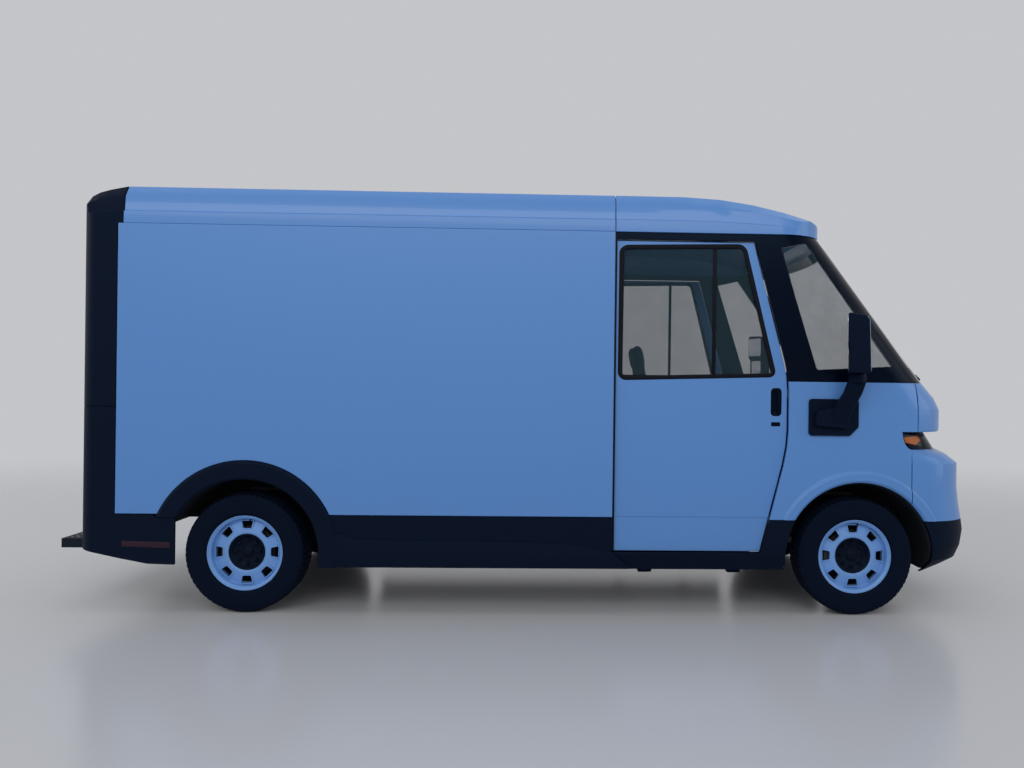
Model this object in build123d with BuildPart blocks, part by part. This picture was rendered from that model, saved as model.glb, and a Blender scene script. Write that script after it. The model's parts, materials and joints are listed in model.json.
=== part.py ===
# Electric delivery van, walk-in type: a cab with two pocket sliding doors and a box load
# space, on a ladder frame with a steel beam rear axle. Every piece is a solid of its own.
# Frame: x forwards, y to the left, z up, millimetres. The origin is on the ground, at the
# middle of the van's length and width.
import os
from math import atan2, cos, radians, sin, sqrt

from build123d import *

os.makedirs("parts", exist_ok=True)

# Overall sizes
length = 6050.0
wheelbase = 3890.0
axle_middle_x = 145.0
half_width = 1100.0
roof_top = 2725.0
nose_x = length / 2
tail_x = -length / 2
front_axle_x = axle_middle_x + wheelbase / 2
rear_axle_x = axle_middle_x - wheelbase / 2

# Wheels and tyres
tyre_radius = 376.0
tyre_width = 228.0
rim_radius = 237.0
bead_radius = 219.0
tyre_inset = 22.0
kingpin_offset = 40.0
axle_z = tyre_radius
tyre_y = half_width - tyre_inset - tyre_width / 2
kingpin_y = tyre_y - kingpin_offset
running_gap = 0.3

# Heights of the body's main lines
sill_z = 292.0
panel_z = 625.0
fender_z = 614.0
floor_z = 760.0
floor_thickness = 40.0
belt_z = 1500.0
cant_z = roof_top - 284

# Walls and seams
panel_thickness = 20.0
skin = 25.0
cladding_thickness = 22.0
seam = 4.0
door_gap = 8.0

# Places along the body
load_front_x = front_axle_x - 1573
body_rear_x = tail_x + 202
rear_trim_x = body_rear_x + 228
screen_set_back = 285.0
pillar_set_back = 205.0
rear_corner_radius = 90.0
post_width = 140.0
ahead_x = nose_x + 80
beyond_y = half_width + 400

# Arches, as seen from the side
front_arch_radius = 480.0
front_arch_x = front_axle_x + 19.0
lip_width, lip_height = 74.0, 12.0
flare_outer_radius = 588.0
flare_inner_radius = 467.0
liner_thickness = 12.0
liner_y = tyre_y - tyre_width / 2 - 210

# Sliding cab doors: plane, outline and travel
door_face_y = half_width - 28.0
door_thickness = 40.0
door_rear_x = load_front_x + 28
door_bottom_z = 410.0
door_top_z = cant_z - 56
door_head_x = front_axle_x - 681
door_foot_x = front_axle_x - 624
door_nose_x = front_axle_x - 456
door_crease_z = 624.0
door_travel = 940.0
pocket_wall_y = door_face_y - door_thickness - 12.0
pocket_wall_thickness = 12.0
pocket_rear_x = door_rear_x - door_travel - 105

crown_radius = 2600.0


def write(piece, name):
    """Labels a finished piece and writes it as a file of its own."""
    piece.part.label = name
    export_step(piece.part, f"parts/{name}.step")


def envelope(rows, x_back, depth=0.0):
    """Cab body through plan outlines at several heights, drawn depth inside the outer skin.

    Each outline has flat sides, round corners and a gently crowned front. A row holds its
    height, its distance behind the bumper's front, the inset of the side, and the corner.
    """
    crown = crown_radius - depth
    with BuildPart() as stack:
        for height, set_back, inset, corner_radius in rows:
            front = nose_x - set_back - depth
            half = half_width - inset - depth
            corner = corner_radius - depth
            reach = sqrt((crown - corner) ** 2 - (half - corner) ** 2)
            start = front - crown + reach
            turn = atan2(half - corner, reach)
            join_x, join_y = front - crown + crown * cos(turn), crown * sin(turn)
            middle = (radians(90) + turn) / 2
            mid_x = start + corner * cos(middle)
            mid_y = half - corner + corner * sin(middle)
            with BuildSketch(Plane.XY.offset(height)):
                with BuildLine():
                    Polyline((start, half), (x_back, half), (x_back, -half), (start, -half))
                    ThreePointArc((start, -half), (mid_x, -mid_y), (join_x, -join_y))
                    ThreePointArc((join_x, -join_y), (front, 0), (join_x, join_y))
                    ThreePointArc((join_x, join_y), (mid_x, mid_y), (start, half))
                make_face()
        loft(ruled=True)
    return stack.part


def side_region(points, reach=beyond_y):
    """Prism right across the van whose outline is drawn in the side view."""
    with BuildPart() as prism:
        with BuildSketch(Plane.XZ):
            with BuildLine():
                Polyline(*points, close=True)
            make_face()
        extrude(amount=reach, both=True)
    return prism.part


def front_region(points, x_from, x_to):
    """Prism along the van whose outline is drawn in the front view, as y and z."""
    with BuildPart() as prism:
        with BuildSketch(Plane.YZ.offset(x_from)):
            with BuildLine():
                Polyline(*points, close=True)
            make_face()
        extrude(amount=x_to - x_from)
    return prism.part


def cross_cylinder(x, z, radius, y_from, y_to):
    """Cylinder along y between two stations, for arches, tubes and bosses."""
    with BuildPart() as bar:
        with BuildSketch(Plane.XZ.offset(-y_from)):
            with Locations((x, z)):
                Circle(radius)
        extrude(amount=-(y_to - y_from))
    return bar.part


def box(x_from, x_to, y_from, y_to, z_from, z_to):
    """Plain block between two corners."""
    with BuildPart() as block:
        with BuildSketch(Plane.XY.offset(z_from)):
            with Locations(((x_from + x_to) / 2, (y_from + y_to) / 2)):
                Rectangle(x_to - x_from, y_to - y_from)
        extrude(amount=z_to - z_from)
    return block.part


def roof_block(rows, depth=0.0):
    """Roof through sections at several stations: low rail, step in, soft shoulder, crown.

    A row holds its station, the half width, the height of the shoulder and of the middle.
    """
    with BuildPart() as block:
        for x, half, edge, top in rows:
            rise = edge - cant_z
            rail, shoulder = cant_z + 0.31 * rise, cant_z + 0.72 * rise
            points = (
                (half - depth, cant_z),
                (half - depth, rail - depth / 2),
                (half - 14 - depth, rail + 5 - depth / 2),
                (half - 26 - depth, shoulder - depth / 2),
                (half - 72 - depth, edge - depth),
            )
            with BuildSketch(Plane.YZ.offset(x)):
                with BuildLine():
                    Polyline(*points)
                    ThreePointArc(points[-1], (0, top - depth), (-points[-1][0], edge - depth))
                    Polyline(*[(-y, z) for y, z in reversed(points)])
                    Line((-half + depth, cant_z), (half - depth, cant_z))
                make_face()
        loft(ruled=True)
    return block.part


def rear_block(x_to, z_from, z_to, depth=0.0):
    """Block from the body's rear face forwards, its rear upright edges rounded."""
    with BuildPart() as block:
        with BuildSketch(Plane.XY.offset(z_from)):
            with Locations(((body_rear_x + depth + x_to) / 2, 0)):
                outline = Rectangle(x_to - body_rear_x - depth, 2 * (half_width - depth))
            fillet(outline.vertices().sort_by(Axis.X)[:2], rear_corner_radius - depth)
        extrude(amount=z_to - z_from)
    return block.part


def arch_lip(x, radius, width, region):
    """Raised lip round both arches at one axle, kept to a side-view region."""
    with BuildPart() as lip:
        for side in (-1, 1):
            with BuildSketch(Plane(origin=(x, side * half_width, axle_z),
                                   x_dir=(side, 0, 0), z_dir=(0, side, 0))):
                Circle(radius + width)
                Circle(radius, mode=Mode.SUBTRACT)
            extrude(amount=lip_height, taper=50)
        add(region, mode=Mode.INTERSECT)
    return lip.part


# Lamp slot across the nose, between the brow and the shelf
slot_bottom_z = 1070.0
slot_top_z = 1185.0
slot_end_x = nose_x - 648
screen_rise = 709.0

# Outlines of the cab from above, as height, distance behind the bumper's front,
# inset of the side and corner radius
bumper_rows = (
    (254, 240, 130, 260),
    (315, 130, 60, 280),
    (360, 50, 20, 300),
    (440, 15, 4, 300),
    (540, 0, 0, 300),
    (fender_z, 10, 0, 300),
)
fascia_rows = (
    (fender_z, 10, 0, 300),
    (730, 30, 0, 300),
    (820, 40, 0, 300),
    (978, 40, 0, 300),
    (1030, 110, 9, 300),
    (slot_bottom_z, 199, 25, 300),
)
fender_rows = (
    (fender_z, 10, 0, 300),
    (978, 40, 0, 300),
    (slot_top_z, 164, 0, 300),
    (1325, 164, 0, 300),
    (belt_z, screen_set_back, 0, 300),
)
nose_rows = (
    (slot_top_z, 170, 4, 300),
    (slot_top_z + 20, 164, 0, 300),
    (1325, 164, 0, 300),
    (1400, 200, 0, 300),
    (belt_z, screen_set_back, 0, 300),
)
band_rows = (
    (slot_bottom_z, 199, 26, 300),
    (slot_top_z, 273, 26, 300),
)
glass_rows = (
    (belt_z, screen_set_back, 8, 300),
    (cant_z, screen_set_back + screen_rise, 15, 300),
)
cab_back_x = load_front_x - 117
fender_front_x = front_arch_x + 332
nose_seam_x = nose_x - 545

fender_arch = cross_cylinder(front_arch_x, axle_z, front_arch_radius, -beyond_y, beyond_y)

# The door's front edge: straight up the pillar, upright at the handle, raked at the foot.
# Each row is x and z, from the top down.
door_edge = (
    (door_head_x, door_top_z),
    (door_nose_x - 22, 1620),
    (door_nose_x - 5, 1530),
    (door_nose_x, 1440),
    (door_nose_x, 1180),
    (door_nose_x - 8, 1080),
    (door_nose_x - 29, 965),
    (door_foot_x, door_bottom_z),
)


def edge_x(z, shift):
    """Place of the door's front edge at a height, moved forwards by shift."""
    for (x_high, z_high), (x_low, z_low) in zip(door_edge, door_edge[1:]):
        if z_low <= z <= z_high:
            return shift + x_low + (x_high - x_low) * (z - z_low) / (z_high - z_low)
    (x_high, z_high), (x_low, z_low) = door_edge[:2] if z > door_top_z else door_edge[-2:]
    return shift + x_low + (x_high - x_low) * (z - z_low) / (z_high - z_low)


def edge_points(z_from, z_to, shift):
    """Points down the door's front edge between two heights, moved forwards by shift."""
    between = [(x + shift, z) for x, z in door_edge if z_to < z < z_from]
    return [(edge_x(z_from, shift), z_from), *between, (edge_x(z_to, shift), z_to)]


def slot_end(shift):
    """Points up the rounded rear end of the lamp slot, moved forwards by shift."""
    rise = slot_top_z - slot_bottom_z
    points = ((40, 0.10), (22, 0.28), (8, 0.58), (0, 1.0))
    return [(slot_end_x + back + shift, slot_bottom_z + share * rise) for back, share in points]


# Ladder frame: two box rails joined by crossmembers
rail_y, rail_width = 430.0, 80.0
rail_bottom_z, rail_top_z = 560.0, floor_z - floor_thickness
rail_rear_x, rail_front_x = body_rear_x + cladding_thickness, nose_x - 305
cross_stations = (
    rail_rear_x + 101,
    rear_axle_x - 450,
    rear_axle_x + 450,
    front_axle_x - 2440,
    front_axle_x - 1440,
    front_axle_x - 490,
    rail_front_x - 100,
)
with BuildPart() as chassis_frame:
    add(box(rail_rear_x, rail_front_x, rail_y, rail_y + rail_width, rail_bottom_z, rail_top_z))
    mirror(about=Plane.XZ)
    for station in cross_stations:
        add(box(station - 35, station + 35, -rail_y, rail_y, rail_bottom_z + 20, rail_top_z - 20))
write(chassis_frame, "chassis_frame")

# Battery pack: one heavy block hung under the rails between the axles
battery_rear_x, battery_front_x = rear_axle_x + 700, front_axle_x - 610
battery_half, battery_bottom_z = half_width - 460, 305.0
with BuildPart() as battery_pack:
    add(box(battery_rear_x, battery_front_x, -battery_half, battery_half,
            battery_bottom_z, rail_bottom_z))
    fillet(battery_pack.edges().filter_by(Axis.Z), 40)
    chamfer(battery_pack.faces().sort_by(Axis.Z)[0].edges(), 18)
write(battery_pack, "battery_pack")

# Load floor: a flat deck, notched at the rear wheel boxes and at the door pockets
inner_y = half_width - panel_thickness
bulkhead_x, bulkhead_thickness = load_front_x - 37, 40.0
post_front_x, step_half = rear_trim_x - 2, half_width - 200
with BuildPart() as load_floor:
    add(box(post_front_x, bulkhead_x + bulkhead_thickness, -inner_y, inner_y,
            floor_z - floor_thickness, floor_z))
    add(box(body_rear_x, post_front_x, -half_width + post_width, half_width - post_width,
            floor_z - floor_thickness, floor_z))
    for side in (-1, 1):
        pocket = sorted((side * (pocket_wall_y - pocket_wall_thickness), side * (inner_y + 1)))
        add(box(pocket_rear_x, door_rear_x + 55, *pocket, floor_z - 100, floor_z + 10),
            mode=Mode.SUBTRACT)
        wheel_box = sorted((side * (liner_y - liner_thickness), side * (inner_y + 1)))
        add(cross_cylinder(rear_axle_x, axle_z, flare_inner_radius + liner_thickness, *wheel_box),
            mode=Mode.SUBTRACT)
        flare = sorted((side * (half_width - 30), side * (inner_y + 1)))
        add(cross_cylinder(rear_axle_x, axle_z, flare_outer_radius + 1, *flare),
            mode=Mode.SUBTRACT)
write(load_floor, "load_floor")

# Cab floor: a raised deck from the bulkhead to the toe board, narrower past the step wells
well_y, well_z, plate = half_width - 400, 430.0, 30.0
well_front_x = front_axle_x - 560
well_outer_y = pocket_wall_y + 5.5
with BuildPart() as cab_floor:
    add(box(bulkhead_x + bulkhead_thickness, well_front_x, plate - well_y, well_y - plate,
            floor_z - floor_thickness, floor_z))
    add(box(well_front_x, nose_seam_x, -(liner_y - liner_thickness), liner_y - liner_thickness,
            floor_z - floor_thickness, floor_z))
write(cab_floor, "cab_floor")

# Entry steps: a tread inside each door with a riser and two end walls up to the deck
with BuildPart() as entry_steps:
    add(box(bulkhead_x + bulkhead_thickness, well_front_x, well_y - plate, well_outer_y,
            well_z - plate, well_z))
    add(box(bulkhead_x + bulkhead_thickness, well_front_x, well_y - plate, well_y, well_z - 1,
            floor_z))
    add(box(well_front_x - plate, well_front_x, well_y - plate, well_outer_y, well_z - 1,
            floor_z))
    add(box(bulkhead_x + bulkhead_thickness, door_rear_x + 15, well_y - plate, well_outer_y,
            well_z - 1, floor_z))
    mirror(about=Plane.XZ)
write(entry_steps, "entry_steps")

# Side panels of the load space, cut round at the rear wheels
with BuildPart() as side_panels:
    with BuildSketch(Plane.XZ.offset(half_width - panel_thickness)):
        with BuildLine():
            Polyline((rear_trim_x + 2, panel_z), (load_front_x, panel_z),
                     (load_front_x, cant_z), (rear_trim_x + 2, cant_z), close=True)
        make_face()
        with Locations((rear_axle_x, axle_z)):
            Circle(flare_outer_radius + 1, mode=Mode.SUBTRACT)
    extrude(amount=panel_thickness)
    mirror(about=Plane.XZ)
write(side_panels, "side_panels")

# Load roof: one long pressing with a stepped rail along each side
roof_edge_z = roof_top - 42
roof_skin = 30.0
roof_rear_x = rear_trim_x + 34
with BuildPart() as load_roof:
    add(roof_block(((roof_rear_x, half_width, roof_edge_z, roof_top),
                    (load_front_x, half_width, roof_edge_z, roof_top))))
    add(roof_block(((roof_rear_x - 5, half_width, roof_edge_z, roof_top),
                    (load_front_x + 5, half_width, roof_edge_z, roof_top)), roof_skin),
        mode=Mode.SUBTRACT)
write(load_roof, "load_roof")

# Cab roof: carries the load roof's lines on, drops and rounds to the windscreen
screen_top_x = nose_x - screen_set_back - screen_rise
roof_drop_x, roof_drop_length = screen_top_x - 1071, 1080.0
shoulder_drop, crown_drop = roof_edge_z - cant_z - 6, roof_top - cant_z - 10
shoulder_bend, crown_bend = 1.9, 3.0
cab_roof_rows = (
    (load_front_x + seam, half_width, roof_edge_z, roof_top),
    *[(roof_drop_x + share * roof_drop_length, half_width,
       roof_edge_z - 1 - shoulder_drop * share ** shoulder_bend,
       roof_top - 1 - crown_drop * share ** crown_bend)
      for share in (0.0, 0.22, 0.42, 0.6, 0.78, 0.9, 1.0)],
)
cab_roof_hollow = (
    (load_front_x - 5, half_width, roof_edge_z, roof_top),
    *cab_roof_rows[1:6],
)
cab_roof_front = (
    (cant_z - 1, screen_set_back + screen_rise, 0, 300),
    (roof_top + 1, screen_set_back + screen_rise, 0, 300),
)
with BuildPart() as cab_roof:
    add(roof_block(cab_roof_rows))
    add(envelope(cab_roof_front, cab_back_x), mode=Mode.INTERSECT)
    add(roof_block(cab_roof_hollow, roof_skin), mode=Mode.SUBTRACT)
write(cab_roof, "cab_roof")

# Windscreen: one raked pane, curved from side to side
glass_thickness = 12.0
screen_foot_x = nose_x - screen_set_back - pillar_set_back
screen_head_x = screen_top_x - pillar_set_back
screen_region = side_region(((screen_foot_x, belt_z), (ahead_x, belt_z), (ahead_x, cant_z),
                             (screen_head_x, cant_z)))
with BuildPart() as windscreen:
    add(envelope(glass_rows, cab_back_x))
    add(envelope(glass_rows, cab_back_x, glass_thickness), mode=Mode.SUBTRACT)
    add(screen_region, mode=Mode.INTERSECT)
write(windscreen, "windscreen")

# Side frames: the black pillar, the header over the door and the quarter window's border
pillar_skin = 30.0
header_bottom_z = door_top_z + door_gap
window_head, window_foot = (door_head_x + 171, cant_z - 86), (door_nose_x + 188, belt_z + 78)
window_reach, head_slope, foot_slope = 900.0, 0.214, 0.053
with BuildPart() as pane_cut:
    add(side_region((window_head, (window_head[0] + window_reach,
                                   window_head[1] + head_slope * window_reach),
                     (window_foot[0] + window_reach, window_foot[1] + foot_slope * window_reach),
                     window_foot)))
    add(side_region(((load_front_x, belt_z), (screen_foot_x - 145, belt_z),
                     (screen_head_x - 108, cant_z), (load_front_x, cant_z))),
        mode=Mode.INTERSECT)
    add(side_region(((load_front_x, belt_z), (ahead_x, belt_z), (ahead_x, cant_z - 48),
                     (load_front_x, cant_z - 48))), mode=Mode.INTERSECT)
frame_region = side_region((
    *edge_points(header_bottom_z, belt_z, door_gap),
    (screen_foot_x, belt_z), (screen_head_x, cant_z),
    (load_front_x + seam, cant_z), (load_front_x + seam, header_bottom_z)))
with BuildPart() as side_frames:
    add(envelope(glass_rows, cab_back_x))
    add(envelope(glass_rows, cab_back_x - 10, pillar_skin), mode=Mode.SUBTRACT)
    add(frame_region, mode=Mode.INTERSECT)
    add(pane_cut.part, mode=Mode.SUBTRACT)
write(side_frames, "side_frames")

# Quarter windows: a pane in each side frame
with BuildPart() as quarter_panes:
    add(envelope(glass_rows, cab_back_x, 1.0))
    add(envelope(glass_rows, cab_back_x - 10, 9.0), mode=Mode.SUBTRACT)
    add(pane_cut.part, mode=Mode.INTERSECT)
write(quarter_panes, "quarter_panes")

# Fenders: from the door to the nose, cut round at the front wheels
fender_region = side_region((
    *edge_points(belt_z, fender_z, door_gap),
    (fender_front_x, fender_z), (fender_front_x, slot_bottom_z), *slot_end(0.0),
    (nose_seam_x, slot_top_z), (nose_seam_x, belt_z)))
with BuildPart() as fenders:
    add(envelope(fender_rows, cab_back_x))
    add(envelope(fender_rows, cab_back_x - 10, skin), mode=Mode.SUBTRACT)
    add(fender_region, mode=Mode.INTERSECT)
    add(arch_lip(front_arch_x, front_arch_radius, lip_width, fender_region))
    add(fender_arch, mode=Mode.SUBTRACT)
write(fenders, "fenders")

# Nose panel: the overhanging brow between the windscreen and the lamps, closed underneath
with BuildPart() as nose_panel:
    add(envelope(nose_rows, cab_back_x))
    add(envelope(((slot_top_z + 12, 164, 0, 300), (1325, 164, 0, 300), (1400, 200, 0, 300),
                  (belt_z, screen_set_back, 0, 300)), cab_back_x - 10, skin), mode=Mode.SUBTRACT)
    add(side_region(((nose_seam_x + seam, slot_top_z), (ahead_x, slot_top_z),
                     (ahead_x, belt_z), (nose_seam_x + seam, belt_z))), mode=Mode.INTERSECT)
write(nose_panel, "nose_panel")

# Front fascia: the lower nose with its sloping shelf, cut out for the bumper's middle
middle_low_y, middle_high_y, middle_top_z = half_width - 220, half_width - 320, 745.0
bumper_middle = ((-middle_low_y, fender_z), (-middle_high_y, middle_top_z),
                 (middle_high_y, middle_top_z), (middle_low_y, fender_z))
middle_gap = ((-middle_low_y - seam, fender_z - 1), (-middle_high_y - seam, middle_top_z + seam),
              (middle_high_y + seam, middle_top_z + seam), (middle_low_y + seam, fender_z - 1))
middle_rear_x = nose_x - 525
fascia_region = side_region(((fender_front_x + seam, fender_z), (ahead_x, fender_z),
                             (ahead_x, slot_bottom_z), (fender_front_x + seam, slot_bottom_z)))
fascia_lip_region = side_region(((fender_front_x + seam, fender_z), (ahead_x, fender_z),
                                 (ahead_x, belt_z - 500), (fender_front_x + seam, belt_z - 500)))
with BuildPart() as front_fascia:
    add(envelope(fascia_rows, cab_back_x))
    add(envelope(fascia_rows, cab_back_x - 10, skin), mode=Mode.SUBTRACT)
    add(fascia_region, mode=Mode.INTERSECT)
    add(arch_lip(front_arch_x, front_arch_radius, lip_width, fascia_lip_region))
    add(fender_arch, mode=Mode.SUBTRACT)
    add(front_region(middle_gap, middle_rear_x, ahead_x), mode=Mode.SUBTRACT)
write(front_fascia, "front_fascia")

# Front bumper: black, round the corners to the wheels, with a raised and slotted middle
with BuildPart() as bumper_centre:
    add(envelope(fascia_rows, cab_back_x))
    add(envelope(fascia_rows, cab_back_x - 10, skin), mode=Mode.SUBTRACT)
    add(front_region(bumper_middle, middle_rear_x, ahead_x), mode=Mode.INTERSECT)
with BuildPart() as front_bumper:
    add(envelope(bumper_rows, cab_back_x))
    add(envelope(bumper_rows, cab_back_x - 10, skin), mode=Mode.SUBTRACT)
    add(side_region(((nose_x - 485, 200), (ahead_x, 200), (ahead_x, fender_z),
                     (fender_front_x, fender_z))), mode=Mode.INTERSECT)
    add(fender_arch, mode=Mode.SUBTRACT)
    add(bumper_centre.part)
write(front_bumper, "front_bumper")

# Nose band: a recessed dark strip across the nose, with the lamps let into it
lamp_inner_y, lamp_outer_y = half_width - 500, half_width - 240
marker_rear_x, marker_front_x = slot_end_x + 14, slot_end_x + 155
marker_bottom_z, marker_top_z = slot_bottom_z + 20, slot_top_z - 23
band_region = side_region(((fender_front_x + seam, slot_bottom_z), (ahead_x, slot_bottom_z),
                           (ahead_x, slot_top_z), *reversed(slot_end(seam))))
marker_region = side_region(((marker_rear_x, marker_bottom_z + 30), (marker_front_x, marker_bottom_z),
                             (marker_front_x, marker_top_z), (marker_rear_x, marker_top_z)))
lamp_bottom_z, lamp_top_z = slot_bottom_z + 12, slot_top_z - 12
lamp_outline = ((lamp_inner_y, lamp_bottom_z), (lamp_outer_y, lamp_bottom_z),
                (lamp_outer_y, lamp_top_z), (lamp_inner_y, lamp_top_z))
with BuildPart() as nose_band:
    add(envelope(band_rows, cab_back_x))
    add(envelope(band_rows, cab_back_x - 10, skin), mode=Mode.SUBTRACT)
    add(band_region, mode=Mode.INTERSECT)
    add(marker_region, mode=Mode.SUBTRACT)
    add(front_region(lamp_outline, middle_rear_x, ahead_x), mode=Mode.SUBTRACT)
    add(front_region([(-y, z) for y, z in lamp_outline], middle_rear_x, ahead_x), mode=Mode.SUBTRACT)
write(nose_band, "nose_band")

# Side markers: an amber lens at each end of the band
with BuildPart() as side_markers:
    add(envelope(band_rows, cab_back_x))
    add(envelope(band_rows, cab_back_x - 10, skin), mode=Mode.SUBTRACT)
    add(marker_region, mode=Mode.INTERSECT)
write(side_markers, "side_markers")

# Headlamps: a lens in the band at each corner
with BuildPart() as headlamps:
    add(envelope(band_rows, cab_back_x))
    add(envelope(band_rows, cab_back_x - 10, skin), mode=Mode.SUBTRACT)
    add(front_region(lamp_outline, middle_rear_x, ahead_x), mode=Mode.INTERSECT)
    mirror(about=Plane.XZ)
write(headlamps, "headlamps")

# Rockers: sill cladding between the arches, each with a floor pan in to the battery
rocker_pan_z = 325.0
rocker_rear_x, rocker_front_x = rear_axle_x + 400, front_axle_x - 330
rear_flare_cut = cross_cylinder(rear_axle_x, axle_z, flare_outer_radius, -beyond_y, beyond_y)
with BuildPart() as rockers:
    with BuildSketch(Plane.XZ.offset(half_width - panel_thickness)):
        with BuildLine():
            Polyline((rocker_rear_x, sill_z), (door_rear_x + 75, sill_z),
                     (rocker_front_x, sill_z + 30), (rocker_front_x, fender_z - seam),
                     (edge_x(fender_z - seam, door_gap), fender_z - seam),
                     (edge_x(door_bottom_z - door_gap, door_gap), door_bottom_z - door_gap),
                     (load_front_x, door_bottom_z - door_gap), (load_front_x, panel_z - seam),
                     (rocker_rear_x, panel_z - seam), close=True)
        make_face()
    extrude(amount=panel_thickness)
    add(box(rocker_rear_x, rocker_front_x - 140, -half_width + panel_thickness,
            -half_width + 52, sill_z, rocker_pan_z + 20))
    add(box(battery_rear_x, battery_front_x, -half_width + panel_thickness, -battery_half,
            rocker_pan_z, rocker_pan_z + 20))
    add(front_region(((-half_width - 1, door_bottom_z - 14), (-half_width - 1, sill_z - 1),
                      (-half_width + 26, sill_z - 1)), rocker_rear_x, rocker_front_x),
        mode=Mode.SUBTRACT)
    add(rear_flare_cut, mode=Mode.SUBTRACT)
    add(fender_arch, mode=Mode.SUBTRACT)
    mirror(about=Plane.XZ)
write(rockers, "rockers")

# Wheel liners: a dark shell inside each arch, closed towards the middle of the van. The front
# ones run down inside the bumper, and the rear ones are open behind the wheel.
front_liner_z, rear_liner_z, liner_tip_z, flare_end_z = 430.0, 380.0, 280.0, 602.0
with BuildPart() as liner_tip:
    with BuildSketch(Plane.XZ.offset(liner_y - liner_thickness)):
        with Locations((front_arch_x, axle_z)):
            Circle(front_arch_radius - running_gap)
            Circle(front_arch_radius - liner_thickness, mode=Mode.SUBTRACT)
    extrude(amount=half_width - 30 - liner_y + liner_thickness)
    add(box(front_arch_x, ahead_x, -beyond_y, 0, liner_tip_z, front_liner_z),
        mode=Mode.INTERSECT)
    add(envelope(bumper_rows, cab_back_x, skin + 6), mode=Mode.INTERSECT)
with BuildPart() as wheel_liners:
    for x, radius, bottom in ((front_arch_x, front_arch_radius, front_liner_z),
                              (rear_axle_x, flare_inner_radius + liner_thickness, rear_liner_z)):
        with BuildSketch(Plane.XZ.offset(liner_y - liner_thickness)):
            with Locations((x, axle_z)):
                Circle(radius - 0.3)
        extrude(amount=half_width - 30 - liner_y + liner_thickness)
        with BuildSketch(Plane.XZ.offset(liner_y)):
            with Locations((x, axle_z)):
                Circle(radius - liner_thickness)
        extrude(amount=half_width - liner_y, mode=Mode.SUBTRACT)
        add(box(x - 600, x + 600, -beyond_y, 0, -300, bottom), mode=Mode.SUBTRACT)
        add(box(x - 110, x + 110, -liner_y - 1, 0, 0, floor_z - 18), mode=Mode.SUBTRACT)
    add(box(rear_axle_x - 600, rear_axle_x - 111, -beyond_y, 0, 0, flare_end_z),
        mode=Mode.SUBTRACT)
    add(liner_tip.part)
    mirror(about=Plane.XZ)
write(wheel_liners, "wheel_liners")

# Rear arch flares: a black ring round each rear wheel, down to the sill at its front end
flare_region = side_region((
    (rear_axle_x - 700, flare_end_z), (rear_axle_x, flare_end_z), (rear_axle_x, sill_z),
    (rear_axle_x + 700, sill_z), (rear_axle_x + 700, 1100), (rear_axle_x - 700, 1100)))
with BuildPart() as rear_flares:
    with BuildSketch(Plane.XZ.offset(half_width - 30)):
        with Locations((rear_axle_x, axle_z)):
            Circle(flare_outer_radius)
            Circle(flare_inner_radius, mode=Mode.SUBTRACT)
    extrude(amount=30)
    mirror(about=Plane.XZ)
    add(flare_region, mode=Mode.INTERSECT)
    add(arch_lip(rear_axle_x, flare_inner_radius, flare_outer_radius - flare_inner_radius,
                 flare_region))
write(rear_flares, "rear_flares")

# Rear cladding: low skirt from behind each rear wheel round the back, one moulding
arch_end_x = rear_axle_x - 425
skirt_outline = ((arch_end_x, flare_end_z), (arch_end_x, 307), (rear_axle_x - 588, 312),
                 (body_rear_x + 251, 347), (body_rear_x, 402), (body_rear_x, panel_z),
                 (post_front_x, panel_z), (post_front_x, panel_z - seam),
                 (rear_axle_x - 562, panel_z - seam), (rear_axle_x - 544, flare_end_z))
valance_bottom_z = 440.0
with BuildPart() as rear_cladding:
    add(rear_block(rear_axle_x, 0, belt_z))
    add(rear_block(rear_axle_x + 1, -1, belt_z + 1, cladding_thickness), mode=Mode.SUBTRACT)
    add(side_region(skirt_outline), mode=Mode.INTERSECT)
    add(box(body_rear_x - 1, body_rear_x + rear_corner_radius, -step_half, step_half, 0,
            valance_bottom_z), mode=Mode.SUBTRACT)
write(rear_cladding, "rear_cladding")

# Rear surround: the dark end frame, two posts, a sill and a rounded header
rear_header_z = cant_z - 11
rear_sill_z = floor_z - floor_thickness
surround_rows = (
    (body_rear_x, half_width, roof_top - 185, roof_top - 145),
    (body_rear_x + 12, half_width, roof_top - 142, roof_top - 102),
    (body_rear_x + 38, half_width, roof_top - 108, roof_top - 68),
    (body_rear_x + 82, half_width, roof_top - 84, roof_top - 44),
    (body_rear_x + 150, half_width, roof_top - 64, roof_top - 24),
    (roof_rear_x - seam, half_width, roof_edge_z, roof_top),
)
surround_hollow = (
    (body_rear_x + 50, half_width, roof_top - 120, roof_top - 80),
    (body_rear_x + 150, half_width, roof_top - 70, roof_top - 30),
    (roof_rear_x, half_width, roof_edge_z - 2, roof_top - 2),
)
with BuildPart() as rear_surround:
    add(box(body_rear_x, post_front_x, -half_width, half_width, panel_z, cant_z))
    add(box(body_rear_x - 1, post_front_x + 1, -half_width + post_width, half_width - post_width,
            rear_sill_z, rear_header_z), mode=Mode.SUBTRACT)
    add(box(body_rear_x + cladding_thickness, post_front_x + 1, -half_width + post_width,
            half_width - post_width, panel_z - 1, cant_z + 1), mode=Mode.SUBTRACT)
    add(roof_block(surround_rows))
    add(roof_block(surround_hollow, roof_skin), mode=Mode.SUBTRACT)
    add(rear_block(roof_rear_x, 0, roof_top + 100), mode=Mode.INTERSECT)
write(rear_surround, "rear_surround")

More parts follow.
